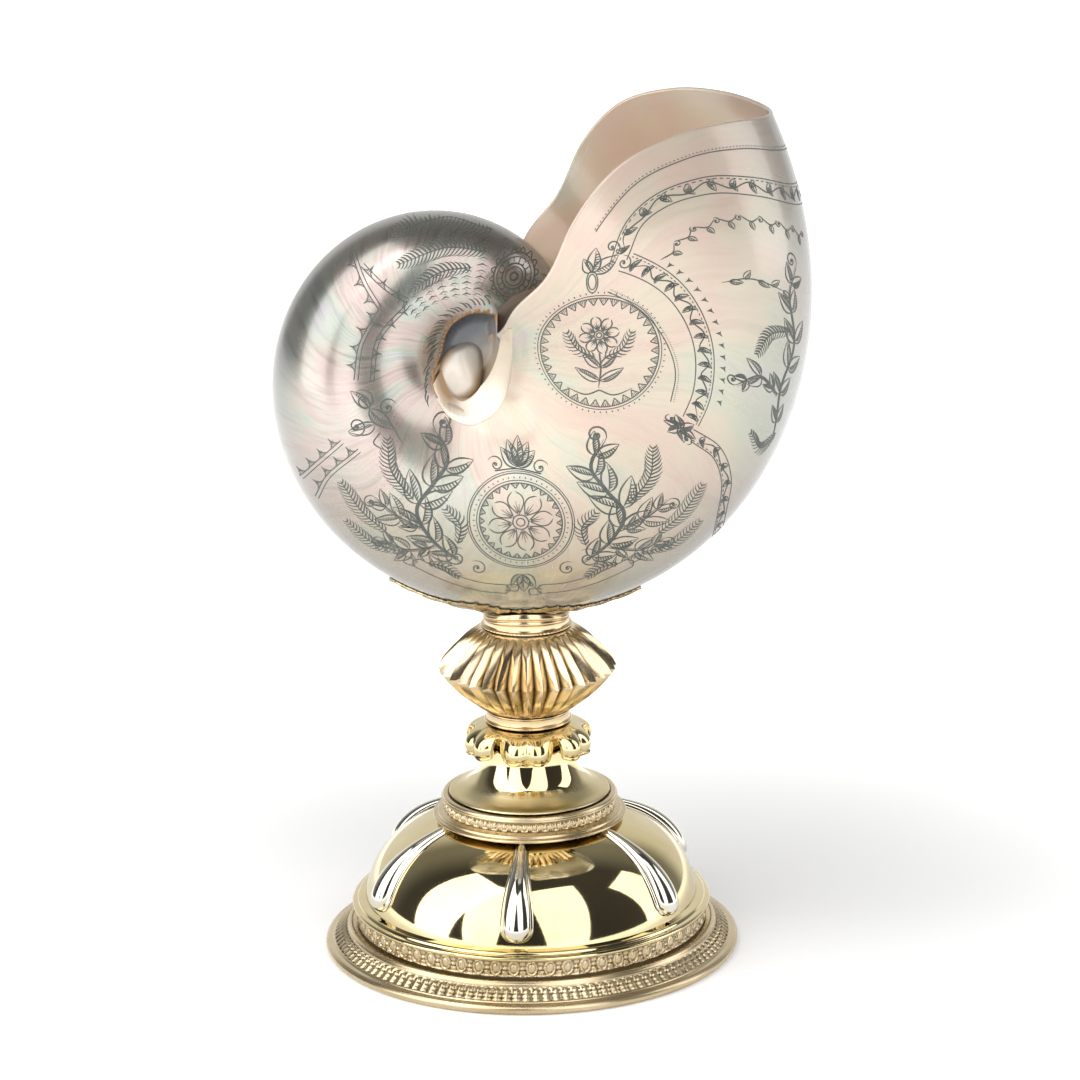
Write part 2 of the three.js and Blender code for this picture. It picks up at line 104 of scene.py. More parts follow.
# ------------------------------------------------------------------ meshes
def mesh_piece(name, points, faces, material, values=None, sharp=35):
    """A smooth mesh object. values gives the material its numbers, one a point, and edges
    of more than "sharp" degrees stay crisp."""
    points = np.asarray(points, float) + np.array([STAND_X, 0, 0])
    mesh = bpy.data.meshes.new(name)
    mesh.from_pydata((points * MM).tolist(), [], [tuple(int(i) for i in f) for f in faces])
    mesh.materials.append(material)
    for key, numbers in (values or {}).items():
        layer = mesh.attributes.new(key, "FLOAT", "POINT")
        layer.data.foreach_set("value", np.asarray(numbers, np.float32))
    mesh.polygons.foreach_set("use_smooth", [True] * len(mesh.polygons))
    if sharp:
        mesh.set_sharp_from_angle(angle=math.radians(sharp))
    mesh.update()
    piece = bpy.data.objects.new(name, mesh)
    bpy.context.scene.collection.objects.link(piece)
    return piece


def declare(piece, node=None):
    """Hangs the piece on the root body and hides the node that it stands for."""
    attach(piece, "root")
    if node:
        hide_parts(node)


def grid_faces(rows, cols, wrap_rows=False, wrap_cols=False, start=0, flip=False):
    faces = []
    for i in range(rows if wrap_rows else rows - 1):
        for k in range(cols if wrap_cols else cols - 1):
            a = start + i * cols + k
            b = start + ((i + 1) % rows) * cols + k
            c = start + ((i + 1) % rows) * cols + (k + 1) % cols
            d = start + i * cols + (k + 1) % cols
            faces.append((a, d, c, b) if flip else (a, b, c, d))
    return faces


def lathe(node, outline, material, segments, place=None, sharp=35):
    """The closed outline of (radius, height) swept round Z, which stands for a node.
    place(r, z, angle) returns the moved (r, z) and a relief value for the material."""
    outline = np.array(outline, float)
    angles = np.linspace(0, TAU, segments, endpoint=False)
    r = np.repeat(outline[None, :, 0], segments, 0)
    z = np.repeat(outline[None, :, 1], segments, 0)
    a = np.repeat(angles[:, None], len(outline), 1)
    relief = np.full_like(r, 1.0)
    if place:
        r, z, relief = place(r, z, a)
    points = np.stack([r * np.cos(a), r * np.sin(a), z], -1).reshape(-1, 3)
    faces = grid_faces(segments, len(outline), wrap_rows=True, wrap_cols=True)
    piece = mesh_piece(f"{node}_fine", points, faces, material, {"relief": relief.ravel()}, sharp)
    declare(piece, node)


# ------------------------------------------------------------------ materials
class Paint:
    """Builds one node material."""

    def __init__(self, name):
        self.material = bpy.data.materials.new(name)
        self.material.use_nodes = True
        self.tree = self.material.node_tree
        self.shader = self.tree.nodes["Principled BSDF"]

    def put(self, socket, value):
        if isinstance(value, bpy.types.NodeSocket):
            self.tree.links.new(value, socket)
        else:
            socket.default_value = value

    def node(self, kind, inputs=None, output=0, **settings):
        n = self.tree.nodes.new(kind)
        for key, value in settings.items():
            setattr(n, key, value)
        for key, value in (inputs or {}).items():
            self.put(n.inputs[key], value)
        return n.outputs[output]

    def where(self):
        return self.node("ShaderNodeTexCoord", output="Object")

    def value(self, name):
        return self.node("ShaderNodeAttribute", output="Fac", attribute_name=name)

    def math(self, op, a, b=0.0, c=0.0):
        return self.node("ShaderNodeMath", {0: a, 1: b, 2: c}, operation=op)

    def vector(self, x, y, z=0.0):
        return self.node("ShaderNodeCombineXYZ", {0: x, 1: y, 2: z})

    def noise(self, vector, scale, detail, roughness=0.5):
        return self.node("ShaderNodeTexNoise", {"Vector": vector, "Scale": scale, "Detail": detail,
                                                "Roughness": roughness})

    def ramp(self, fac, stops, ease="LINEAR"):
        n = self.tree.nodes.new("ShaderNodeValToRGB")
        n.color_ramp.interpolation = ease
        while len(n.color_ramp.elements) < len(stops):
            n.color_ramp.elements.new(0.5)
        for element, (at, colour) in zip(n.color_ramp.elements, stops):
            element.position = at
            element.color = (*colour, 1) if isinstance(colour, tuple) else (colour,) * 3 + (1,)
        self.put(n.inputs["Fac"], fac)
        return n.outputs["Color"]

    def mix(self, fac, a, b, blend="MIX"):
        n = self.tree.nodes.new("ShaderNodeMix")
        n.data_type = "RGBA"
        n.blend_type = blend
        sockets = [s for s in n.inputs if s.enabled]
        for socket, value in zip(sockets, (fac, a, b)):
            if isinstance(value, tuple) and len(value) == 3:
                value = (*value, 1)
            self.put(socket, value)
        return [s for s in n.outputs if s.enabled][0]

    def bump(self, height, strength, distance):
        self.put(self.shader.inputs["Normal"],
                 self.node("ShaderNodeBump", {"Height": height, "Strength": strength,
                                              "Distance": distance}))

    def set(self, **inputs):
        for key, value in inputs.items():
            if isinstance(value, tuple) and len(value) == 3:
                value = (*value, 1)
            self.put(self.shader.inputs[key.replace("_", " ")], value)
        return self.material


def gilt(name, light, deep, roughness, rough_spread, grain, recess_shade=None, dull=0.0):
    """Silver-gilt: a warm metal with cloudy colour and wiped scratches. A low relief value
    mixes in the dark recess colour, painted shade in the recesses, or dulls the polish by "dull"."""
    p = Paint(name)
    where = p.where()
    cloud = p.noise(where, 38.0, 4.0, 0.55)
    colour = p.mix(p.ramp(cloud, [(0.32, 0.0), (0.68, 1.0)]), deep, light)
    fine = p.noise(where, 900.0, 2.0, 0.6)
    rough = p.math("MULTIPLY_ADD", p.noise(where, 120.0, 3.0), rough_spread, roughness - rough_spread / 2)
    # painted shade: where the relief value is low the colour turns to the dark recess colour
    if recess_shade:
        dark = p.ramp(p.value("relief"), [(0.05, 0.0), (0.62, 1.0)])
        colour = p.mix(dark, recess_shade, colour)
    if dull:
        rough = p.math("ADD", rough, p.math("MULTIPLY_ADD", p.value("relief"), -dull, dull))
    if grain:
        p.bump(fine, grain, 0.0001)
    return p.set(Base_Color=colour, Metallic=1.0, Roughness=rough)


GILT_POLISHED = gilt("gilt_polished", (0.74, 0.63, 0.38), (0.60, 0.49, 0.25), 0.055, 0.03, 0.03, dull=0.3)
GILT_SATIN = gilt("gilt_satin", (0.72, 0.58, 0.39), (0.56, 0.42, 0.22), 0.21, 0.10, 0.10)
# the recess colours below are painted shade for the hollows of fluted and stamped work
GILT_FLUTED = gilt("gilt_fluted", (0.76, 0.62, 0.43), (0.64, 0.50, 0.30), 0.19, 0.08, 0.10,
                   recess_shade=(0.17, 0.115, 0.045))
GILT_STAMPED = gilt("gilt_stamped", (0.68, 0.56, 0.37), (0.52, 0.41, 0.24), 0.28, 0.12, 0.2,
                    recess_shade=(0.10, 0.07, 0.03))
# gilt of the plate under the keel: a much darker deep colour in patches, and near-black painted shade in its
# recesses
GILT_UNDER_KEEL = gilt("gilt_worn", (0.66, 0.54, 0.32), (0.32, 0.23, 0.11), 0.24, 0.2, 0.2,
                 recess_shade=(0.05, 0.035, 0.02))
SILVER = gilt("silver", (0.80, 0.78, 0.70), (0.66, 0.62, 0.52), 0.10, 0.05, 0.03)
STEEL = gilt("steel", (0.42, 0.40, 0.36), (0.28, 0.25, 0.21), 0.42, 0.2, 0.4)


def pearl():
    """Mother-of-pearl. "growth" counts turns back from the lip and "side" runs from the
    keel to the umbilicus, so the bands follow the shell's own growth lines."""
    p = Paint("pearl")
    growth, side = p.value("growth"), p.value("side")
    inside = p.value("inside")
    where = p.where()
    warp = p.math("MULTIPLY_ADD", p.noise(where, 22.0, 2.0), 0.05, growth)
    fine_bands = p.vector(p.math("MULTIPLY", warp, 90.0), p.math("MULTIPLY", side, 2.2))
    bands = p.noise(fine_bands, 1.0, 5.0, 0.62)
    broad_bands = p.vector(p.math("MULTIPLY", warp, 13.0), p.math("MULTIPLY", side, 2.6), 4.0)
    broad = p.noise(broad_bands, 1.0, 3.0, 0.5)
    # painted sheen: the pink, green and blue of nacre's iridescence, which shifts with the view, set into the
    # base colour
    sheen = p.ramp(broad, [(0.25, (0.32, 0.47, 0.40)), (0.36, (0.52, 0.47, 0.40)), (0.46, (0.58, 0.39, 0.38)),
                           (0.54, (0.54, 0.49, 0.42)), (0.62, (0.37, 0.50, 0.44)), (0.70, (0.41, 0.41, 0.54)),
                           (0.80, (0.56, 0.44, 0.39))], "EASE")
    cream = p.mix(p.noise(where, 16.0, 3.0), (0.46, 0.37, 0.27), (0.56, 0.49, 0.39))
    grey = p.mix(p.noise(where, 26.0, 3.0), (0.20, 0.18, 0.155), (0.46, 0.425, 0.385))
    coil = p.math("SMOOTH_MIN", p.math("MAXIMUM", p.math("MULTIPLY_ADD", growth, -3.4, -0.92), 0.0), 1.0, 0.2)
    body = p.mix(coil, cream, grey)
    colour = p.mix(p.math("MULTIPLY_ADD", coil, -0.06, 0.36), body, sheen)
    lines = p.ramp(bands, [(0.28, 0.58), (0.50, 1.0), (0.74, 0.74)])
    colour = p.mix(p.math("MULTIPLY_ADD", coil, 0.55, 0.30), colour, lines, "MULTIPLY")
    # darker and greenish yellow towards the bottom, and tan on the inside
    height = p.node("ShaderNodeSeparateXYZ", {0: where}, output=2)
    low = p.ramp(height, [(0.106, 1.0), (0.145, 0.0)])
    colour = p.mix(p.math("MULTIPLY", low, 0.6), colour, (0.36, 0.31, 0.18))
    # painted reflection: a grey band along the keel stands in for the dark room seen in it at a grazing angle
    keel = p.ramp(p.math("ABSOLUTE", side), [(0.05, 1.0), (0.46, 0.0)], "EASE")
    colour = p.mix(p.math("MULTIPLY", keel, 0.72), colour, (0.22, 0.215, 0.20))
    tan = p.mix(p.noise(where, 30.0, 4.0), (0.38, 0.25, 0.15), (0.56, 0.41, 0.28))
    tan = p.mix(p.math("MULTIPLY", broad, 0.45), tan, sheen)
    colour = p.mix(inside, colour, tan)
    spots = p.node("ShaderNodeTexVoronoi", {"Vector": where, "Scale": 62.0}, output="Distance")
    pits = p.ramp(p.math("ADD", spots, p.math("MULTIPLY", p.noise(where, 14.0, 2.0), 0.22)),
                  [(0.115, 1.0), (0.145, 0.0)])
    colour = p.mix(p.math("MULTIPLY", pits, 0.75), colour, (0.30, 0.17, 0.06))
    ripple = p.math("MULTIPLY", p.noise(where, 60.0, 3.0), 0.5)
    p.bump(p.math("ADD", p.math("MULTIPLY", bands, 0.7), ripple), 0.08, 0.0005)
    rough = p.math("MULTIPLY_ADD", bands, 0.16, 0.17)
    metal = p.math("MULTIPLY_ADD", coil, 0.58, 0.20)
    metal = p.math("MULTIPLY", metal, p.math("MULTIPLY_ADD", inside, -0.8, 1.0))
    return p.set(Base_Color=colour, Roughness=rough, Metallic=metal, Coat_Weight=0.55, Coat_Roughness=0.09,
                 Coat_IOR=1.5, Thin_Film_Thickness=420.0, Thin_Film_IOR=1.45)


def umbilicus_paint():
    """The cut-open umbilicus: a brown edge over cream and tan walls, with painted shade going blue-grey to
    near black.
    """
    p = Paint("pearl_umbilicus")
    where = p.where()
    cloud = p.noise(where, 90.0, 4.0, 0.6)
    tone = p.math("MULTIPLY_ADD", cloud, 0.16, p.value("tone"))
    # tone above about 0.5 is painted shade in the hollow: grey, blue-grey, then near black
    wall = p.ramp(tone, [(0.05, (0.62, 0.50, 0.37)), (0.30, (0.46, 0.36, 0.26)), (0.46, (0.34, 0.29, 0.24)),
                         (0.60, (0.17, 0.165, 0.155)), (0.78, (0.085, 0.094, 0.106)),
                         (0.98, (0.05, 0.056, 0.066))], "EASE")
    worn = p.ramp(p.math("MULTIPLY_ADD", cloud, 0.16, p.value("rim")), [(0.30, 0.0), (0.62, 1.0)])
    colour = p.mix(worn, wall, (0.27, 0.145, 0.055))
    p.bump(cloud, 0.25, 0.0004)
    return p.set(Base_Color=colour, Roughness=0.32, Coat_Weight=0.4, Coat_Roughness=0.12)


def callus_paint():
    """Smooth creamy shell round the umbilicus, browner at its thin ends: partly stain, partly painted shade.
    """
    p = Paint("pearl_callus")
    cloud = p.noise(p.where(), 110.0, 4.0, 0.6)
    cream = p.mix(cloud, (0.58, 0.50, 0.40), (0.74, 0.69, 0.62))
    cream = p.mix(p.value("body"), cream, p.mix(cloud, (0.46, 0.38, 0.28), (0.54, 0.47, 0.37)))
    cream = p.mix(p.value("shade"), cream, (0.20, 0.19, 0.175))
    # brown: a real stain in part, and painted shade in creases and under curled edges
    stain_and_shade = p.ramp(p.math("MULTIPLY_ADD", cloud, 0.3, p.value("stain_and_shade")), [(0.35, 0.0), (0.85, 1.0)])
    colour = p.mix(stain_and_shade, cream, (0.36, 0.23, 0.12))
    p.bump(cloud, 0.12, 0.0004)
    return p.set(Base_Color=colour, Roughness=0.28, Coat_Weight=0.5, Coat_Roughness=0.1)


def ink_paint():
    p = Paint("engraving_ink")
    cloud = p.noise(p.where(), 160.0, 3.0)
    colour = p.mix(cloud, (0.030, 0.034, 0.030), (0.115, 0.125, 0.110))
    return p.set(Base_Color=colour, Roughness=0.55)


PEARL, HOLLOW, CALLUS, INK = pearl(), umbilicus_paint(), callus_paint(), ink_paint()

# ------------------------------------------------------------------ the shell's surface
# A point has a growth, in turns back from the lip (0 to -1 is the last whorl), and a side,
# from 0 on the keel to 1 or -1 in the umbilicus.
SHELL_AXIS = (-15.7, 0.0, 175.4)      # where the coil's axis meets its middle plane
SHELL_YAW, SHELL_LEAN = -2.0, 0.6     # degrees about Z and about X
LIP_ANGLE = math.radians(38.9)        # of the lip at the keel, from X towards Z
# control values of a smooth curve for the keel's radius, from one turn back to the lip
WHORL_RADII = [29.6, 34.7, 40.8, 48.0, 53.8, 61.4, 70.5, 84.3, 94.2, 108.6, 146.1]
EARLY_GROWTH = 1.29                   # rise of the radius's logarithm in a turn outside those
# degrees that the lip runs ahead of its keel, at equal steps of side
LIP_WAVE = [0, 1.3, 5.2, 10.7, 15.9, 16.7, 12.5, 13.0, 4.0]
# the whorl's section: its curve in radians, then shares of the keel's radius
SECTION_SWEEP = 2.59
SECTION_DEPTH = 0.474
SECTION_SKEW = 0.0154
SECTION_BREADTH = 0.451
SECTION_TAPER = -0.05                 # share of the breadth, greatest at the keel
LIP_TAPER = -0.2335                   # the section's taper at the lip, gone LIP_TAPER_TURNS back
LIP_TAPER_TURNS = 0.4
UMBILICUS_SHIFT = (0.75, 5.5)         # move of the section's end in X and Z
WALL, LIP_EDGE = 1.7, 1.1             # thickness inside the chamber and at the lip
CHAMBER_TURNS = 0.38                  # from the lip back to the chamber's last wall
SHELL_ROWS, SHELL_COLS = 300, 132     # stations of growth and from edge to edge of the section


def lip_wave(a):
    """Angle by which a growth line is ahead of its keel, where a is the side without sign."""
    steps = len(LIP_WAVE) - 1
    v = np.array(LIP_WAVE, float)
    s = np.minimum(a * steps, steps - 1e-9)
    i = np.floor(s).astype(int)
    f = s - i
    before, after = v[np.abs(i - 1)], v[np.minimum(i + 2, steps)]
    here, there = v[i], v[i + 1]
    slope_a, slope_b = (there - before) / 2, (after - here) / 2
    h = smooth01(f)
    return np.radians(here + (there - here) * h + slope_a * f * (1 - f) ** 2 - slope_b * f * f * (1 - f))


def whorl_radius(growth):
    """The keel's distance from the coil's axis."""
    logs = np.log(WHORL_RADII)
    steps = len(WHORL_RADII) - 3
    s = np.clip((growth + 1) * steps, 0, steps)
    i = np.minimum(np.floor(s).astype(int), steps - 1)
    f = s - i
    weights = [(1 - f) ** 3, 3 * f ** 3 - 6 * f ** 2 + 4, -3 * f ** 3 + 3 * f ** 2 + 3 * f + 1, f ** 3]
    total = sum(w / 6 * logs[i + k] for k, w in enumerate(weights))
    total = total + EARLY_GROWTH * np.minimum(growth + 1, 0) + EARLY_GROWTH * np.maximum(growth, 0)
    return np.exp(total)


def flat_point(growth, side):
    """Shell point with the coil's axis along Y, before the shell is turned into place."""
    growth, side = np.broadcast_arrays(np.asarray(growth, float), np.asarray(side, float))
    a = np.abs(side)
    angle = LIP_ANGLE + TAU * growth + lip_wave(a)
    radius = whorl_radius((angle - LIP_ANGLE) / TAU)
    taper = LIP_TAPER * (1 - smooth01(-growth / LIP_TAPER_TURNS))
    c, s = np.cos(a * SECTION_SWEEP), np.sin(a * SECTION_SWEEP)
    r = 1 - SECTION_DEPTH - SECTION_SKEW + SECTION_DEPTH * c + SECTION_SKEW * (2 * c * c - 1)
    y = SECTION_BREADTH * s * (1 + taper * c + SECTION_TAPER * c * c)
    shift = smooth01(a)
    return np.stack([r * radius * np.cos(angle) + UMBILICUS_SHIFT[0] * shift,
                     np.sign(side) * y * radius,
                     r * radius * np.sin(angle) + UMBILICUS_SHIFT[1] * shift], -1)


def flat_normal(growth, side):
    """Outward direction at the same point."""
    step = 1e-3
    high, low = np.minimum(side + step, 1), np.maximum(side - step, -1)
    along_growth = flat_point(growth + step, side) - flat_point(growth - step, side)
    along_side = flat_point(growth, high) - flat_point(growth, low)
    n = np.cross(along_side, along_growth)
    return n / np.maximum(np.linalg.norm(n, axis=-1, keepdims=True), 1e-9)


TURN = np.array([list(row) for row in Matrix.Rotation(math.radians(SHELL_YAW), 3, "Z")
                 @ Matrix.Rotation(math.radians(SHELL_LEAN), 3, "X")])
SEAT = np.array([-STAND_X, 0.0, 100.7])
FIT = 0.9965                          # keeps the smooth skin inside the flat-faced solid's box


def settle(points):
    """From the shell's own layout to the stand's."""
    placed = np.asarray(points) @ TURN.T + np.array(SHELL_AXIS)
    return SEAT + (placed - SEAT) * FIT


# The umbilicus is cut open. Side value of the cut's edge against growth.
CUT = [(-1.0, 0.66), (-0.965, 0.69), (-0.91, 0.75), (-0.855, 0.83), (-0.775, 0.905), (-0.70, 0.95),
       (-0.63, 0.965), (-0.58, 0.925), (-0.55, 0.885), (-0.50, 0.865), (-0.44, 0.869), (-0.38, 0.875),
       (-0.30, 0.93), (-0.20, 1.0), (0.0, 1.0)]


def cut_side(growth):
    """Side value where the shell ends at the umbilicus, ragged where it is broken."""
    g, s = np.array(CUT).T
    ragged = 0.010 * np.sin(growth * 190) + 0.008 * np.sin(growth * 410 + 1)
    return np.interp(growth, g, s) + ragged * bump01(growth, -0.98, -0.56, 0.03)


def shell_body():
    """Outer surface, rounded lip, inside of the chamber and its back wall, as one piece.
    Returns the outer surface's points as a grid."""
    rows, cols = SHELL_ROWS, SHELL_COLS
    g = np.linspace(-1.0, 0.0, rows)[:, None]
    k = np.linspace(-1, 1, cols)[None, :]
    side = k * cut_side(g)
    outer = flat_point(g, side)
    parts, faces, count = [outer.reshape(-1, 3)], grid_faces(rows, cols), rows * cols
    growth_v, side_v = [np.repeat(g, cols, 1).ravel()], [side.ravel()]
    inside_v = [np.zeros(count)]

    def block(points, growth, side, inside):
        nonlocal count
        r, c = points.shape[:2]
        parts.append(points.reshape(-1, 3))
        faces.extend(grid_faces(r, c, start=count))
        growth_v.append(np.broadcast_to(growth, (r, c)).ravel())
        side_v.append(np.broadcast_to(side, (r, c)).ravel())
        inside_v.append(np.broadcast_to(inside, (r, c)).ravel())
        count += r * c

    # lip: half a circle from the outer surface to the inner one
    lip_side = k[0] * cut_side(np.array([0.0]))
    edge, normal = flat_point(0.0, lip_side), flat_normal(0.0, lip_side)
    ahead = flat_point(0.002, lip_side) - edge
    ahead = ahead / np.linalg.norm(ahead, axis=-1, keepdims=True)
    steps = 7
    turns = np.linspace(0, math.pi, steps)
    lip = np.array([edge - normal * LIP_EDGE / 2 * (1 - math.cos(t)) + ahead * LIP_EDGE / 2 * math.sin(t)
                    for t in turns])
    block(lip, 0.0, lip_side[None, :], np.linspace(0, 0.5, steps)[:, None])

    # inside of the chamber, thin at the lip
    g_in = np.linspace(0.0, -CHAMBER_TURNS, 110)[:, None]
    deep = smooth01(-g_in / 0.03)
    side_in = k * ((cut_side(g_in) - 0.03 * deep) * (1 - 0.06 * deep))
    wall = LIP_EDGE + (WALL - LIP_EDGE) * smooth01(-g_in / 0.08)
    inner = flat_point(g_in, side_in) - flat_normal(g_in, side_in) * wall[..., None]
    block(inner, g_in, side_in, 0.5 + 0.5 * smooth01(-g_in / 0.02))

    # the earlier whorl inside the mouth, and the wall at the back of the chamber
    g_early = np.linspace(-1.0 - CHAMBER_TURNS, -1.0, 120)[:, None]
    side_early = np.linspace(-1, 1, 100)[None, :] * (0.67 + 0.29 * smooth01((-1.0 - g_early) / 0.08))
    early = flat_point(g_early, side_early)
    block(early, g_early, side_early, 0.25 + 0.75 * smooth01((-1.02 - g_early) / 0.05))
    t = np.linspace(0, 1, 24)[:, None, None]
    top = inner[-1][None]
    base = flat_point(-1.0 - CHAMBER_TURNS, np.linspace(-0.7, 0.7, cols))[None]
    back = flat_point(-CHAMBER_TURNS - 0.04, np.zeros(1)) - flat_point(-CHAMBER_TURNS, np.zeros(1))
    septum = top * (1 - t) + base * t + back[None] * np.sin(math.pi * t) * 1.4
    block(septum, -CHAMBER_TURNS, k, 1.0)

    piece = mesh_piece("shell_body", settle(np.vstack(parts)), faces, PEARL,
                       {"growth": np.concatenate(growth_v), "side": np.concatenate(side_v),
                        "inside": np.concatenate(inside_v)}, sharp=60)
    declare(piece, "nautilus_shell")
    return outer


def blend(points, count):
    """A smooth open curve through the points, with count points spread evenly between them."""
    line = np.array(points, float)
    t = np.linspace(0, len(line) - 1, count)
    slope = np.gradient(line, axis=0)
    k = np.minimum(t.astype(int), len(line) - 2)
    f = (t - k)[:, None]
    a, b, da, db = line[k], line[k + 1], slope[k], slope[k + 1]
    return (a * (2 * f**3 - 3 * f**2 + 1) + da * (f**3 - 2 * f**2 + f)
            + b * (3 * f**2 - 2 * f**3) + db * (f**3 - f**2))


def umbilicus_bowl(sign, label):
    """The hollow behind the cut, from its broken edge in to a point near the coil's axis."""
    rows, steps = 240, 30
    g = np.linspace(-1.0, 0.0, rows)
    edge = flat_point(g, sign * cut_side(g))
    reach = 6
    even = np.ones(2 * reach + 1) / (2 * reach + 1)
    calm = np.array([np.convolve(np.pad(line, reach, "edge"), even, "valid") for line in edge.T]).T
    centre = np.array([2.0, sign * 11.5, 5.0])
    t = np.linspace(0, 1, steps)
    shrink = (1 - 0.08 * np.minimum(t / 0.1, 1) - 0.92 * np.clip((t - 0.1) / 0.9, 0, 1) ** 1.5)[:, None, None]
    sink = np.sin(np.clip((t - 0.05) / 0.56, 0, 1) * math.pi / 2)[:, None]
    settled = smooth01(t / 0.12)[:, None, None]
    start = edge[None] * (1 - settled) + calm[None] * settled
    points = centre + (start - centre) * shrink
    points[..., 1] = start[..., 1] * (1 - sink) + centre[1] * sink
    # tone: painted shade, rising towards the top left of the hollow, where the walls turn dark
    tone = 0.52 + ((points[..., 2] - centre[2]) * 0.70 - (points[..., 0] - centre[0]) * 0.72) / 26
    broken = bump01(g, -0.99, -0.50, 0.05)
    rim = np.clip(1.05 - t[:, None] / 0.16, 0, 1) * broken[None]
    piece = mesh_piece(f"shell_umbilicus_{label}", settle(points.reshape(-1, 3)),
                       grid_faces(steps, rows, wrap_cols=True, flip=sign > 0), HOLLOW,
                       {"tone": tone.ravel(), "rim": rim.ravel()}, sharp=0)
    declare(piece)


def early_whorl(sign, label):
    """Swelling of the earlier whorl: a low rounded tongue, its top and right side sunk."""
    around, rings = 96, 26
    outline = [(2.6, 8.2), (4.9, 7.7), (6.3, 5.6), (6.5, 2.4), (6.2, -1.2), (5.4, -5.0), (2.0, -8.6),
               (-2.0, -9.2), (-5.2, -6.6), (-6.8, -2.2), (-6.4, 1.6), (-3.9, 4.7), (-0.8, 6.9), (2.6, 8.2)]
    ring = blend(outline, around + 1)[:-1]
    ring = ring + np.array([-1.3, 0.0])
    core = np.array([-1.0, 0.2])
    q = np.sin(np.linspace(0, 1, rings) * math.pi / 2)[:, None]
    x = core[0] + q * (ring[None, :, 0] - core[0])
    z = core[1] + q * (ring[None, :, 1] - core[1])
    ridge = 1.2 * np.exp(-((x + 0.55 * z - 1.5) / 3.6) ** 2)
    y = sign * (12.2 + 3.6 * np.sqrt(np.clip(1 - q ** 3.0, 0, 1)) + ridge - 0.30 * z - 0.12 * x)
    high = smooth01((0.5 * x + z + 2.0) / 9.0)
    # brown on the lower left is a stain; the brown ring at the edge is painted shade in the crease round the
    # tongue
    stain_and_shade = np.clip(0.30 * smooth01((q - 0.80) / 0.18) + 0.65 * smooth01((q - 0.40) / 0.5) * (1 - high), 0, 1)
    shade = np.clip(0.12 + 0.40 * high + 0.60 * high * smooth01((q - 0.72) / 0.22), 0, 1)
    piece = mesh_piece(f"shell_early_whorl_{label}", settle(np.stack([x, y, z], -1).reshape(-1, 3)),
                       grid_faces(rings, around, wrap_cols=True, flip=sign > 0), CALLUS,
                       {"stain_and_shade": stain_and_shade.ravel(), "body": 0 * x.ravel(), "shade": shade.ravel()}, sharp=0)
    declare(piece)


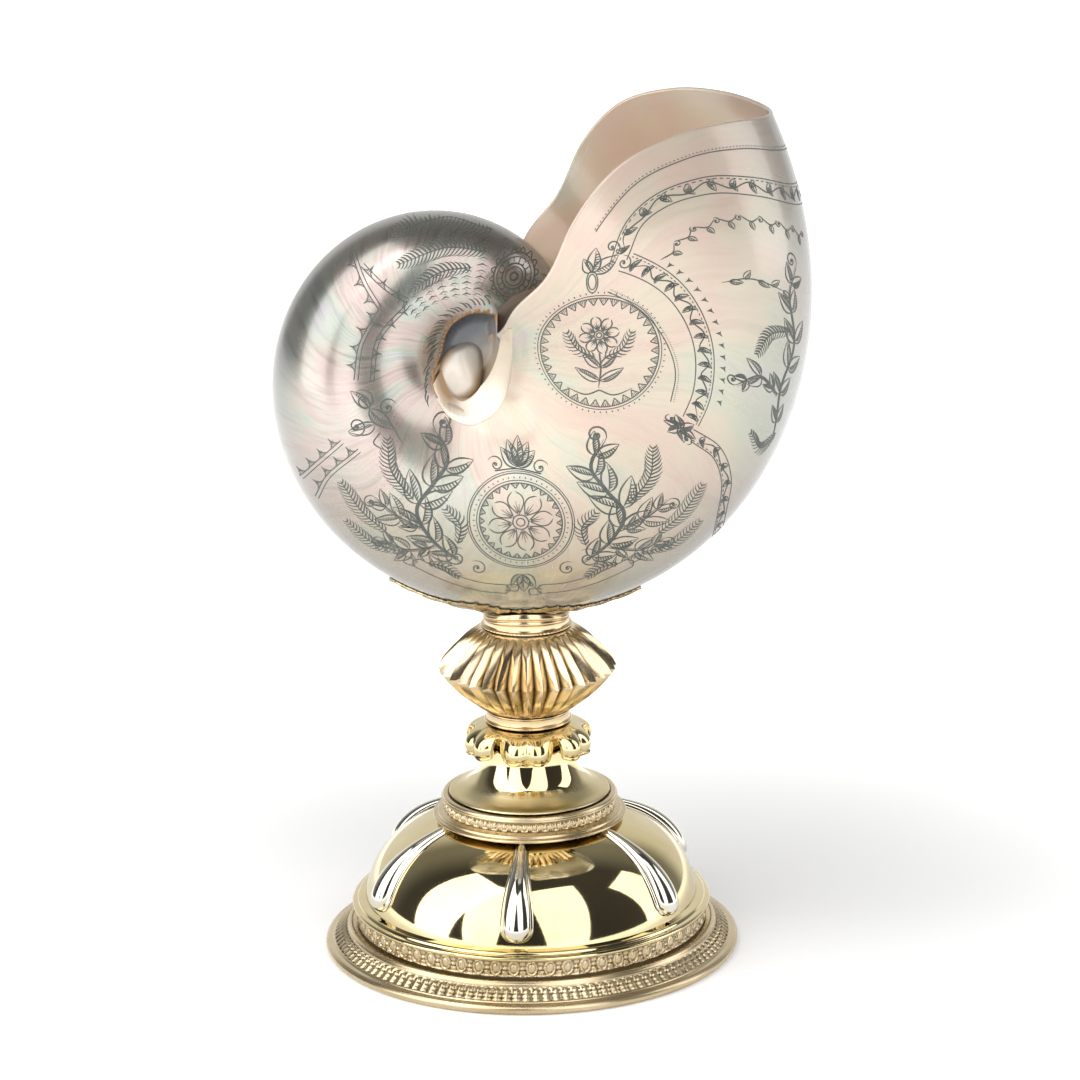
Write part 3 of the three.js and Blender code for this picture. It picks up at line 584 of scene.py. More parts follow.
def callus(sign, label, tree):
    """A fold of shell that comes down from the lip and curls round the opening. It runs
    from a root on the shell to a free edge, and lies on the shell between them."""
    stations = 200
    free = blend([(13.6, 32.2, 18.2), (11.9, 32.0, 15.6), (10.9, 31.0, 12.8), (10.3, 29.4, 9.6),
                  (9.3, 27.4, 6.0), (7.8, 25.6, 2.4), (6.2, 24.3, -0.3), (5.0, 23.5, -1.9), (3.7, 22.9, -3.8),
                  (1.4, 22.0, -6.0), (-1.0, 20.6, -6.9), (-3.4, 18.8, -5.5), (-5.3, 16.8, -2.2),
                  (-6.4, 15.2, 1.2), (-7.0, 14.2, 4.2)], stations)
    root = blend([(14.9, 18.9), (15.0, 16.6), (14.9, 14.4), (14.7, 10.5), (14.3, 6.0), (13.8, 2.0),
                  (13.2, -1.0), (12.2, -4.2), (10.4, -7.6), (7.2, -10.6), (2.4, -12.6), (-3.0, -11.3),
                  (-6.8, -7.4), (-9.0, -2.0), (-8.3, 4.2)], stations)
    f = np.linspace(0, 1, stations)
    swell = 0.15 + 1.0 * bump01(f, 0.45, 0.98, 0.2)
    v = np.array([0, 0.05, 0.12, 0.22, 0.34, 0.46, 0.58, 0.70, 0.80, 0.89, 0.96, 1.0])[:, None]
    x = root[None, :, 0] * (1 - v) + free[None, :, 0] * v
    z = root[None, :, 1] * (1 - v) + free[None, :, 2] * v
    under = np.zeros(x.shape)
    for place in np.ndindex(*x.shape):
        start = Vector((x[place], sign * CLEAR, z[place]))
        hit = tree.ray_cast(start, Vector((0, -sign, 0)))[0]
        under[place] = abs(hit.y) if hit else 0.0
    y = under[0][None] * (1 - v) + free[None, :, 1] * v
    least = (under + 0.12 * np.minimum(v / 0.1, 1)) * (1 - smooth01((f - 0.86) / 0.08))[None]
    y = np.maximum(y, least)
    for _ in range(4):
        y[2:-1] = (y[1:-2] + 2 * y[2:-1] + y[3:]) / 4
    y = np.maximum(y, least)
    y = y + swell * np.sin(math.pi * v ** 0.8) - 0.5 * (1 - v) ** 12 - 1.6 * smooth01((f - 0.9) / 0.1)
    away = np.stack([root[:, 0] - free[:, 0], root[:, 1] - free[:, 2]], -1)
    away /= np.linalg.norm(away, axis=1, keepdims=True)
    curls = [(0.10, 0.5), (0.45, 1.4), (0.8, 3.4), (0.9, 7.0)]
    x = np.vstack([x] + [free[None, :, 0] + away[None, :, 0] * out for out, _ in curls])
    z = np.vstack([z] + [free[None, :, 2] + away[None, :, 1] * out for out, _ in curls])
    y = np.vstack([y] + [free[None, :, 1] - deep for _, deep in curls])
    depth = np.vstack([v, np.array([[1.05], [1.2], [1.4], [1.6]])])
    left = smooth01((f - 0.66) / 0.2)[None]
    # brown on the left is a stain; at the root, where the fold meets the shell, and under the curled edge it
    # is painted shade
    stain_and_shade = np.clip(left * (0.35 + 0.75 * depth ** 2) + 0.5 * smooth01((depth - 1.0) / 0.3)
                    + 0.45 * (1 - smooth01(depth / 0.10)) * smooth01((f - 0.35) / 0.1)[None], 0, 1)
    body = (1 - smooth01((f - 0.34) / 0.22))[None] * np.ones_like(depth)
    points = np.stack([x, sign * y, z], -1)
    piece = mesh_piece(f"shell_callus_{label}", settle(points.reshape(-1, 3)),
                       grid_faces(len(depth), stations, flip=sign < 0), CALLUS,
                       {"stain_and_shade": stain_and_shade.ravel(), "body": body.ravel()}, sharp=0)
    declare(piece)


def tree_of(grid):
    rows, cols = grid.shape[:2]
    return BVHTree.FromPolygons(grid.reshape(-1, 3).tolist(), grid_faces(rows, cols))


SIDES = ((-1, "near"), (1, "far"))
CLEAR = 150.0                         # further from the coil's middle plane than any point
COIL_ROWS = 175                       # the coil's share of the outer surface's rows
outer_points = shell_body()
FLANK = tree_of(outer_points)
COIL = tree_of(outer_points[:COIL_ROWS])
for sign, label in SIDES:
    umbilicus_bowl(sign, label)
    early_whorl(sign, label)
    callus(sign, label, FLANK)


# ------------------------------------------------------------------ engraving
INK_LIFT = 0.035
INK_BOLD = 1.2
INK_JUMP = 6.0                        # a line that leaps further than this is broken there
EDGE_ON = 0.02                        # no ink where the normal's share along Y is under this
LIP_SCALE = (TAU * 96.0, 112.0)       # turns (growth, side) near the lip into about a millimetre


def flank_chart(sign, tree):
    """Maps flat (x, z) about the coil's axis straight onto one flank of the shell."""
    def place(points):
        spots, normals = [], []
        for x, z in points:
            spot, normal = tree.ray_cast(Vector((x, sign * CLEAR, z)), Vector((0, -sign, 0)))[:2]
            if spot is None or abs(normal.y) < EDGE_ON:
                spots.append(None)
                normals.append(None)
                continue
            spots.append(np.array(spot))
            normals.append(np.array(normal if normal.y * sign > 0 else -normal))
        return spots, normals
    return place


def growth_chart(sign):
    """Maps (growth, side) pairs, each times LIP_SCALE, onto the shell; sign -1 is the
    flank seen in front."""
    def place(points):
        g, s = (np.array(points) / np.array(LIP_SCALE)).T
        s = s * sign
        spots, normals = flat_point(g, s), flat_normal(g, s)
        return list(spots), list(normals)
    return place


class Ink:
    """Collects fine flat lines and lays them on the shell through its present chart."""

    def __init__(self):
        self.points = []
        self.faces = []
        self.chart = None

    def line(self, points, width, taper):
        spots, normals = self.chart(points)
        run = []
        for spot, normal in zip(spots, normals):
            if spot is None:
                self.flush(run, width, taper)
                run = []
            elif run and np.linalg.norm(spot - run[-1][0]) > INK_JUMP:
                self.flush(run, width, taper)
                run = [(spot, normal)]
            else:
                run.append((spot, normal))
        self.flush(run, width, taper)

    def flush(self, run, width, taper):
        if len(run) < 2:
            return
        p = np.array([r[0] for r in run])
        n = np.array([r[1] for r in run])
        tangent = np.gradient(p, axis=0)
        across = np.cross(n, tangent)
        across /= np.maximum(np.linalg.norm(across, axis=1, keepdims=True), 1e-9)
        t = np.linspace(0, 1, len(p))
        swell = np.ones(len(p))
        if taper[0]:
            swell = np.minimum(swell, 0.3 + 0.7 * t / taper[0])
        if taper[1]:
            swell = np.minimum(swell, 0.3 + 0.7 * (1 - t) / taper[1])
        half = (width * INK_BOLD / 2 * swell)[:, None]
        start = len(self.points)
        for a, b in zip(p - across * half + n * INK_LIFT, p + across * half + n * INK_LIFT):
            self.points.append(a)
            self.points.append(b)
        for i in range(len(p) - 1):
            a = start + 2 * i
            self.faces.append((a, a + 1, a + 3, a + 2))

    def build(self, name):
        declare(mesh_piece(name, settle(np.array(self.points)), self.faces, INK, sharp=0))


def turned_by(points, angle, origin):
    """Points turned by the angle and then moved to the origin."""
    c, s = math.cos(angle), math.sin(angle)
    return np.array(points, float) @ np.array([[c, s], [-s, c]]) + np.array(origin)


def leaf(ink, base, angle, length, width, bend, hatch, bold):
    """A pointed leaf with a midrib and hatched shade on one half."""
    t = np.linspace(0, 1, 12)
    spine = np.stack([t * length, bend * length * t * t], 1)
    half = width * np.sin(math.pi * t ** 0.8) ** 0.9
    upper = spine + np.stack([0 * t, half], 1)
    lower = spine - np.stack([0 * t, half * 0.85], 1)
    for line, w in ((upper, bold), (lower, bold * 1.15), (spine[:-1], bold * 0.8)):
        ink.line(curve(turned_by(line, angle, base), 0.9), w, (0.2, 0.4))
    for i in range(hatch):
        f = 0.14 + 0.68 * i / hatch
        k = f * 11
        a = spine[int(k)] + (spine[min(int(k) + 1, 11)] - spine[int(k)]) * (k % 1)
        h = width * math.sin(math.pi * f ** 0.8) ** 0.9
        b = a + np.array([length * 0.10, -h * 0.72])
        ink.line(turned_by([a, (a + b) / 2, b], angle, base), bold * 0.85, (0, 0.6))


def scroll(ink, centre, radius, start, turns, hand, bold=0.32):
    """A spiral that ends in a small round eye."""
    n = max(10, int(abs(turns) * 22))
    t = np.linspace(0, 1, n)
    a = start + hand * turns * TAU * t
    r = radius * (1 - 0.86 * t)
    pts = np.stack([centre[0] + r * np.cos(a), centre[1] + r * np.sin(a)], 1)
    ink.line(curve(pts, 0.7), bold, (0.15, 0.1))
    ring(ink, centre, radius * 0.12, bold, 8)


def ring(ink, centre, radius, bold, n, squash=1.0):
    """A circle of n steps, or an upright oval where squash is over 1."""
    a = np.linspace(0, TAU, n + 1)
    pts = np.stack([centre[0] + radius * np.cos(a), centre[1] + radius * squash * np.sin(a)], 1)
    ink.line(curve(pts, 0.9), bold, (0, 0))


def dots(ink, path, gap, size, length):
    """A row of short dashes along a path."""
    for p, d in along(path, gap):
        ink.line([p - d * length / 2, p + d * length / 2], size, (0, 0))


def along(path, gap):
    """Points and directions every gap along a path."""
    p = np.array(path, float)
    steps = np.linalg.norm(np.diff(p, axis=0), axis=1)
    total = np.concatenate([[0], np.cumsum(steps)])
    marks = np.arange(gap / 2, total[-1], gap)
    out = []
    for m in marks:
        i = min(int(np.searchsorted(total, m, "right")) - 1, len(p) - 2)
        f = (m - total[i]) / max(steps[i], 1e-9)
        d = (p[i + 1] - p[i]) / max(steps[i], 1e-9)
        out.append((p[i] + (p[i + 1] - p[i]) * f, d))
    return out


def shifted(path, distance):
    """The path moved to its left by the distance."""
    p = np.array(path, float)
    t = np.gradient(p, axis=0)
    t /= np.maximum(np.linalg.norm(t, axis=1, keepdims=True), 1e-9)
    return p + np.stack([-t[:, 1], t[:, 0]], 1) * distance


def leaf_band(ink, path, half, gap, dashed):
    """A border: ruled edges, a wavy stem with leaves, and a dashed rule inside the edge on
    the left of the path (dashed 1) or on its right (-1)."""
    path = curve(path, 1.0)
    for d in (half, -half):
        ink.line(shifted(path, d), 0.26, (0, 0))
    dots(ink, shifted(path, dashed * (half - 0.8)), 1.7, 0.24, 0.9)
    marks = along(path, gap)
    stem = []
    for i, (p, d) in enumerate(marks):
        n = np.array([-d[1], d[0]])
        up = 1 if i % 2 else -1
        stem.append(p + n * up * half * 0.42)
        angle = math.atan2(d[1], d[0])
        leaf(ink, p + n * up * half * 0.4, angle - up * 0.9, gap * 0.62, half * 0.34, -0.2 * up, 4, 0.3)
        leaf(ink, p - n * up * half * 0.1, angle + up * 0.7, gap * 0.5, half * 0.28, 0.2 * up, 4, 0.28)
    if len(stem) > 2:
        ink.line(curve(stem, 0.8), 0.34, (0.1, 0.1))


def toothed(ink, path, gap, size, hand):
    """Small three-pointed tufts set along one side of a line."""
    for p, d in along(path, gap):
        n = np.array([-d[1], d[0]]) * hand
        tip = p + n * size
        for f in (-1, 1):
            foot = p + d * f * size * 0.62
            inner = p + n * size * 0.35 + d * f * size * 0.12
            ink.line(curve([foot, inner, tip], 0.6), 0.26, (0.2, 0.3))
        for j in range(3):
            q = p + d * (j - 1) * size * 0.22
            ink.line([q + n * size * 0.1, q + n * size * 0.55], 0.26, (0, 0.6))


def spray(ink, stem, leaves, length, width, bold, curl, mirror):
    """A stem with paired leaves along it and a scroll at its end."""
    stem = curve(stem, 0.9)
    ink.line(stem, bold * 1.3, (0.1, 0.2))
    ink.line(shifted(stem, 0.55), bold * 0.7, (0.2, 0.4))
    marks = along(stem, len(stem) * 0.9 / (leaves + 0.5))
    for i, (p, d) in enumerate(marks):
        angle = math.atan2(d[1], d[0])
        size = 1 - 0.3 * abs(2 * i / max(1, len(marks) - 1) - 1)
        for f in (-1, 1):
            leaf(ink, p, angle + f * (0.85 + 0.12 * (i % 2)), length * size, width * size,
                 -0.28 * f, 7, bold)
    end, direction = stem[-1], stem[-1] - stem[-3]
    a = math.atan2(direction[1], direction[0])
    c = end + np.array([-math.sin(a), math.cos(a)]) * curl * mirror
    scroll(ink, c, curl, a - mirror * math.pi / 2, 1.3, mirror, bold)


def flower(ink, centre, radius, petals, bold):
    ring(ink, centre, radius * 0.24, bold, 16)
    ring(ink, centre, radius * 0.13, bold, 10)
    for i in range(petals):
        a = TAU * i / petals + 0.2
        t = np.linspace(0, 1, 9)
        for f in (-1, 1):
            r = radius * (0.25 + 0.75 * t)
            w = f * (TAU / petals) * 0.46 * np.sin(math.pi * t * 0.98) ** 0.7
            pts = np.stack([centre[0] + r * np.cos(a + w), centre[1] + r * np.sin(a + w)], 1)
            ink.line(curve(pts, 0.6), bold, (0.1, 0.1))
        for j in (-0.12, 0.0, 0.12):
            r = np.array([0.32, 0.5, 0.72 - abs(j)]) * radius
            b = a + j * 8 / petals * np.array([0.6, 1.0, 1.3])
            pts = np.stack([centre[0] + r * np.cos(b), centre[1] + r * np.sin(b)], 1)
            ink.line(pts, bold * 0.8, (0, 0.7))


def zigzag_ring(ink, centre, radius, teeth, depth):
    """A round frame: two rules, a row of dots outside and hatched triangles inside."""
    ring(ink, centre, radius, 0.28, 90)
    ring(ink, centre, radius + 0.75, 0.22, 90)
    for i in range(teeth * 2):
        a = TAU * i / (teeth * 2)
        p = np.array([math.cos(a), math.sin(a)])
        q = np.array(centre) + p * (radius + 1.35)
        ink.line([q, q + p * 0.5], 0.26, (0, 0))
    for i in range(teeth):
        a = TAU * i / teeth
        half = TAU / teeth * 0.42
        corner = [np.array(centre) + radius * np.array([math.cos(a + f * half), math.sin(a + f * half)])
                  for f in (-1, 1)]
        tip = np.array(centre) + (radius - depth) * np.array([math.cos(a), math.sin(a)])
        ink.line(curve([corner[0], tip], 0.6), 0.26, (0, 0))
        ink.line(curve([tip, corner[1]], 0.6), 0.26, (0, 0))
        for f in (0.25, 0.5, 0.75):
            start = corner[0] + (corner[1] - corner[0]) * f
            ink.line([start, start + (tip - start) * 0.55], 0.24, (0, 0.5))


def frond(ink, spine, width, bold=0.32):
    """A long feathery leaf: a spine with close barbs on both sides."""
    spine = curve(spine, 0.8)
    ink.line(spine, bold, (0.1, 0.4))
    marks = along(spine, 1.15)
    for i, (p, d) in enumerate(marks):
        f = i / len(marks)
        w = width * math.sin(math.pi * (0.12 + 0.86 * f)) ** 0.6
        n = np.array([-d[1], d[0]])
        for s in (-1, 1):
            a, b = p + d * w * 0.55 + n * s * w * 0.72, p + d * w * 1.15 + n * s * w
            ink.line(curve([p, a, b], 0.7), bold * (1.25 if s < 0 else 0.85), (0, 0.5))


def banner(ink, path, half):
    """A blank curling ribbon with shaded folds at both ends."""
    path = curve(path, 0.9)
    for d in (half, -half):
        ink.line(shifted(path, d), 0.28, (0, 0))
    for end, back in ((path[0], path[2]), (path[-1], path[-3])):
        d = (end - back) / np.linalg.norm(end - back)
        n = np.array([-d[1], d[0]])
        ink.line(curve([end + n * half, end + d * 1.2, end - n * half], 0.5), 0.28, (0, 0))
        fold = end + d * 3.2 + n * half * 1.2
        under = [end + n * half, fold, fold - n * half * 1.4, end - n * half * 0.2]
        ink.line(curve(under, 0.6), 0.28, (0, 0))
        for j in range(5):
            q = end + n * half * (0.8 - 0.36 * j)
            ink.line([q, q + d * (1.3 - 0.15 * j)], 0.26, (0, 0.6))


def medallions(ink):
    # the hanging medallion, its link and the clasp it hangs from
    zigzag_ring(ink, (38.6, 13.0), 16.2, 34, 2.1)
    flower(ink, (38.6, 18.2), 5.6, 8, 0.34)
    ink.line(curve([(38.6, 12.8), (38.9, 8), (38.2, 2.4)], 0.7), 0.42, (0, 0.3))
    for base, length, angles in (((38.7, 8.5), 6.6, (2.5, 0.65)), ((38.5, 4.6), 7.6, (2.75, 0.4))):
        for a in angles:
            leaf(ink, base, a, length, 1.25, 0.12 if a < math.pi / 2 else -0.12, 8, 0.36)
    frond(ink, [(37.6, 11.5), (32.5, 14.0), (29.6, 19.2)], 1.9)
    frond(ink, [(39.6, 11.5), (44.8, 14.0), (47.6, 19.2)], 1.9)
    for f in (-1, 1):
        ink.line(curve([(38.4, 1.8), (38.4 + f * 4, 0.4), (38.4 + f * 9, 2.2)], 0.7), 0.34, (0, 0.4))
    for r in (1.5, 1.05):
        ring(ink, (37.0, 34.0), r, 0.3, 30, 2.1)
    leaf(ink, (37.0, 36.6), 1.25, 7.0, 2.0, 0.15, 7, 0.36)
    leaf(ink, (37.2, 36.8), 0.35, 8.0, 2.0, 0.2, 7, 0.36)
    leaf(ink, (37.0, 36.8), 2.3, 4.4, 1.5, -0.2, 5, 0.34)
    scroll(ink, (42.6, 43.4), 2.4, -1.6, 1.2, 1)
    scroll(ink, (45.6, 38.8), 2.2, 1.6, 1.2, -1)

    # the lower medallion and the palmette over it
    c = (15.9, -38.2)
    zigzag_ring(ink, c, 11.6, 26, 1.5)
    ring(ink, c, 14.4, 0.28, 90)
    ring(ink, c, 15.0, 0.22, 90)
    flower(ink, c, 9.2, 8, 0.3)
    for i in range(5):
        a = math.radians(90 + (i - 2) * 27)
        leaf(ink, (15.4, -22.0), a, 8.6 - abs(i - 2) * 0.9, 1.7, 0.08 * (2 - i), 8, 0.38)
    for f in (-1, 1):
        scroll(ink, (15.4 + f * 6.2, -21.8), 2.4, math.pi / 2 - f * 1.2, 1.2, f)
        ink.line(curve([(15.4 - f * 6.5, -23.6), (15.4, -22.6), (15.4 + f * 6.5, -23.6)], 0.6), 0.3, (0, 0))


def plants(ink):
    # two leafy plants stand either side of the lower medallion
    x = 15.9
    for f in (1, -1):
        def at(points):
            return [(x + f * dx, z) for dx, z in points]
        stem = at([(17, -52), (25, -45), (29, -36), (24, -28), (20, -21), (24, -13)])
        spray(ink, stem, 7, 10.0, 2.7, 0.46, 3.0, f)
        spray(ink, at([(27, -42), (35, -38), (41, -33)]), 3, 7.5, 1.9, 0.34, 2.2, -f)
        spray(ink, at([(24, -47), (33, -49), (40, -46)]), 3, 6.5, 1.7, 0.34, 2.0, -f)
        frond(ink, at([(30, -33), (36, -25), (37, -16)]), 2.6, 0.36)
        frond(ink, at([(18, -46), (17, -40), (21, -35)]), 2.2, 0.34)
        scroll(ink, (x + f * 18.6, -50.4), 3.6, math.pi / 2 + f * 0.6, 1.4, -f, 0.36)
        scroll(ink, (x + f * 12.6, -53.6), 2.6, math.pi / 2 - f * 0.6, 1.3, f, 0.32)
        frond(ink, at([(38, -44), (45, -38), (51, -29)]), 2.6, 0.30)
        frond(ink, at([(33, -50), (42, -48.5), (50, -42)]), 2.2, 0.28)
        frond(ink, at([(27, -53), (22, -54), (17.5, -57.5)]), 1.8, 0.36)
        for k in range(9):
            g = 20 + k * 2.6
            rise = 0.14 * (g - 20)
            ink.line(at([(g, -53.4 + rise), (g + 1.6, -50.2 + rise)]), 0.36, (0, 0.6))
            ink.line(at([(g + 0.8, -53.4 + rise), (g + 1.2, -51.4 + rise)]), 0.3, (0, 0.6))
        banner(ink, at([(5, -61.2), (13, -60.4), (22, -57.4), (30, -53.4)]), 1.7)
    leaf(ink, (x, -55.5), -math.pi / 2, 6.5, 1.9, 0.0, 6, 0.34)
    for f in (-1, 1):
        leaf(ink, (x, -55.5), -math.pi / 2 + f * 0.8, 6.0, 1.6, -0.2 * f, 6, 0.34)


def coil_bands(ink):
    """Pointed strapwork with tufts over the flank of the coil, and a scroll clasp."""
    upper = [[(-31, 33.5), (-27.5, 26.5), (-23.0, 19.8)], [(-23.0, 19.8), (-28.5, 10.5), (-30.2, 0.5)],
             [(-28.0, 30.5), (-20.5, 24.6), (-15.0, 21.6)], [(-15.0, 21.6), (-23.6, 12.0), (-25.8, 0.0)]]
    lower = [[(-34.5, -17), (-42.0, -24.5), (-47.2, -30.5)], [(-29.5, -19), (-38.5, -27.5), (-43.0, -36.0)]]
    for i, path in enumerate(upper + lower):
        line = curve(path, 0.9)
        ink.line(line, 0.28, (0, 0))
        ink.line(shifted(line, 1.1), 0.24, (0, 0))
        toothed(ink, line, 4.9, 2.7, -1 if i % 4 < 2 else 1)
    scroll(ink, (-27.5, -5.2), 3.2, 2.4, 1.4, -1, 0.36)
    scroll(ink, (-21.0, -7.2), 2.6, 0.4, 1.3, 1, 0.36)
    scroll(ink, (-29.8, -12.5), 3.0, -2.4, 1.4, 1, 0.36)
    leaf(ink, (-26.0, -7.5), -0.9, 8.5, 2.0, 0.2, 8, 0.38)
    leaf(ink, (-26.0, -7.5), 2.2, 7.0, 1.7, 0.2, 7, 0.36)
    leaf(ink, (-24.5, -11.5), -2.6, 8.0, 1.9, -0.2, 8, 0.36)
    for path in ([(-24, -10), (-20, -12), (-17, -17)], [(-23, -14), (-25, -17), (-22, -19)]):
        ink.line(curve(path, 0.7), 0.34, (0.1, 0.2))


def coil_crown(ink):
    """Long fronds over the top of the coil, columns of scales and a round boss."""
    boss = np.array([14.4, 27.0])
    frond(ink, [(8.5, 38.4), (-5.0, 42.0), (-20.5, 38.6)], 2.5, 0.30)
    frond(ink, [(7.0, 34.0), (-4.5, 35.6), (-17.5, 31.6)], 2.6, 0.34)
    frond(ink, [(3.0, 30.4), (-5.5, 29.6), (-13.5, 25.2)], 2.3, 0.34)
    for column in range(12):
        a = math.radians(134 - column * 9)
        for row in range(15):
            r = 18.5 + row * 1.6
            c = np.array([1.0 + r * math.cos(a) * 1.02, 4.5 + r * math.sin(a)])
            out = np.array([math.cos(a), math.sin(a)])
            over = np.array([-out[1], out[0]])
            if np.linalg.norm(c - boss) < 7.2 or (column < 6 and row > 4):
                continue
            w = 1.2 + 0.05 * row
            bold = 0.42 if (column + row) % 2 else 0.26
            ink.line([c - over * w, c + out * 0.5, c + over * w], bold, (0.3, 0.3))
            ink.line([c - over * w * 0.4 - out * 0.5, c + over * w * 0.5], 0.24, (0.3, 0.3))
    for r, w in ((5.6, 0.34), (4.7, 0.26), (3.2, 0.40), (2.4, 0.26), (1.0, 0.5)):
        ring(ink, boss, r, w, 40)
    for i in range(16):
        a = TAU * i / 16
        p = np.array([math.cos(a), math.sin(a)])
        q = boss + p * 5.7
        n = np.array([-p[1], p[0]])
        ink.line(curve([q - n * 0.9, q + p * 1.0, q + n * 0.9], 0.5), 0.3, (0, 0))
        ink.line([boss + p * 3.3, boss + p * 4.6], 0.26, (0, 0))
    # small strokes round the cut edge of the umbilicus
    for i in range(34):
        g = -0.97 + 0.46 * i / 34
        p = flat_point(g, -(cut_side(np.array([g]))[0] - 0.02))
        d = np.array([p[0] - 1.6, p[2] - 5.0])
        d /= np.linalg.norm(d)
        q = np.array([p[0], p[2]]) + d * 0.6
        n = np.array([-d[1], d[0]])
        ink.line(curve([q, q + d * 1.2 + n * 1.0, q + d * 1.7 + n * 2.2], 0.6), 0.34, (0, 0.5))


def lip_borders(ink):
    """Borders that follow the lip."""
    gs, ss = LIP_SCALE

    def on(points):
        return [(g * gs, s * ss) for g, s in points]

    leaf_band(ink, on([(-0.046, 0.60), (-0.033, 0.54), (-0.029, 0.47), (-0.028, 0.38), (-0.030, 0.27),
                              (-0.033, 0.13), (-0.034, 0.0)]), 2.7, 5.6, 1)
    leaf_band(ink, on([(-0.050, 0.585), (-0.086, 0.505), (-0.120, 0.458), (-0.152, 0.444),
                              (-0.176, 0.452)]), 2.6, 5.6, 1)
    leaf_band(ink, on([(-0.184, 0.435), (-0.182, 0.35), (-0.188, 0.27), (-0.200, 0.19),
                              (-0.206, 0.10), (-0.208, 0.0)]), 2.4, 5.6, -1)
    for path in ([(-0.017, 0.60), (-0.013, 0.47), (-0.012, 0.30), (-0.014, 0.12), (-0.015, 0.0)],
                 [(-0.060, 0.645), (-0.100, 0.572), (-0.140, 0.52), (-0.168, 0.515)]):
        line = curve(on(path), 1.0)
        ink.line(line, 0.26, (0, 0))
        dots(ink, shifted(line, 0.8), 0.95, 0.26, 0.34)
    edge = curve(on([(-0.064, 0.505), (-0.092, 0.442), (-0.122, 0.402), (-0.160, 0.385)]), 1.0)
    toothed(ink, edge, 4.2, 1.7, -1)
    # scalloped cartouche by the keel
    row = curve(on([(-0.062, 0.52), (-0.050, 0.44), (-0.045, 0.34), (-0.046, 0.22), (-0.050, 0.08)]), 1.0)
    for i, (p, d) in enumerate(along(row, 6.4)):
        n = np.array([-d[1], d[0]])
        ink.line(curve([p - d * 3.0, p - n * 1.7, p + d * 3.0], 0.6), 0.32, (0.2, 0.2))
        scroll(ink, p + d * 3.0 - n * 0.8, 1.1, 0.4, 1.1, 1 if i % 2 else -1, 0.28)
        leaf(ink, p - n * 1.7, math.atan2(-n[1], -n[0]), 2.6, 0.8, 0.2, 3, 0.28)
    under = curve(on([(-0.082, 0.40), (-0.078, 0.32), (-0.080, 0.22)]), 1.0)
    for i, (p, d) in enumerate(along(under, 4.4)):
        angle = math.atan2(d[1], d[0])
        leaf(ink, p, angle + (0.5 if i % 2 else -0.5), 4.0, 0.9, 0.2, 4, 0.3)
    ink.line(under, 0.3, (0.2, 0.2))
    # knot where the borders meet
    k = np.array([-0.184 * gs, 0.470 * ss])
    for a in (0.3, 1.3, 2.3, 3.4, 4.4, 5.4):
        leaf(ink, k, a, 5.2, 1.5, 0.25, 7, 0.38)
    scroll(ink, k + np.array([2.0, 3.4]), 2.0, 0.5, 1.2, 1, 0.34)
    scroll(ink, k + np.array([-2.6, -3.0]), 1.9, 3.5, 1.2, 1, 0.34)
    # leafy branch near the keel
    spray(ink, on([(-0.150, 0.16), (-0.128, 0.20), (-0.104, 0.17), (-0.082, 0.20), (-0.066, 0.16)]),
          6, 8.5, 2.3, 0.42, 2.6, 1)
    spray(ink, on([(-0.132, 0.21), (-0.128, 0.29), (-0.140, 0.36)]), 3, 6.5, 1.7, 0.38, 2.0, -1)
    frond(ink, on([(-0.098, 0.19), (-0.104, 0.27), (-0.118, 0.31)]), 2.2, 0.36)
    frond(ink, on([(-0.148, 0.15), (-0.160, 0.20), (-0.158, 0.27)]), 2.2, 0.36)


for sign, label in SIDES:
    ink = Ink()
    ink.chart = flank_chart(sign, FLANK)
    medallions(ink)
    plants(ink)
    ink.chart = flank_chart(sign, COIL)
    coil_bands(ink)
    coil_crown(ink)
    ink.chart = growth_chart(sign)
    lip_borders(ink)
    ink.build(f"engraving_{label}")


# ------------------------------------------------------------------ foot
FOOT_R = 60.2
BORE = 3.4                            # radius of the hole for the rod in each turned piece
LEAVES = 124
LEAF_OUT, LEAF_IN = 57.6, 53.8        # radii of the foot and the head of the rows of leaves
OVALS = 62
OVAL_PITCH = 5.17
BAND_R, BAND_EDGE = 51.0, 50.9
BAND_LOW, BAND_HIGH = 7.9, 12.7


def tongue(u, t, low, high):
    """Height of one pointed leaf: u is 0 on its midrib, t runs along it."""
    f = np.clip((t - low) / (high - low), 0, 1)
    inside = (t > low) & (t < high)
    width = 0.95 * np.sin(math.pi * (0.12 + 0.85 * f)) ** 0.7
    lobed = width * (1 - 0.16 * np.cos(f * 6 * math.pi))
    body = np.clip(1 - (u / np.maximum(lobed, 0.05)) ** 2, 0, 1) ** 0.5
    rib = 0.30 * np.exp(-(u / 0.13) ** 2)
    return inside * np.clip(body * (0.55 + 0.25 * f) + rib * (body > 0.1), 0, 1)


def flange_relief(r, z, a):
    """Two rows of leaf tongues on the sloping band between the rim and the ledge."""
    t = np.clip((LEAF_OUT - r) / (LEAF_OUT - LEAF_IN), 0, 1)
    on = bump01(r, 54.0, 57.5, 0.12) * (z > 3.0)
    turn = a / TAU * LEAVES
    u = np.abs(turn % 1 - 0.5) * 2
    v = np.abs((turn + 0.5) % 1 - 0.5) * 2
    h = np.maximum(tongue(u, t, 0.0, 0.86), tongue(v, t, 0.60, 1.0) * 0.75) * on
    # a low relief value between the leaves paints shade there
    relief = np.where(on > 0.3, np.clip(0.12 + h * 1.1, 0, 1), 1.0)
    return r + 0.55 * (h - 0.6 * on) * 0.6, z + 0.75 * (h - 0.6 * on) * 0.8, relief


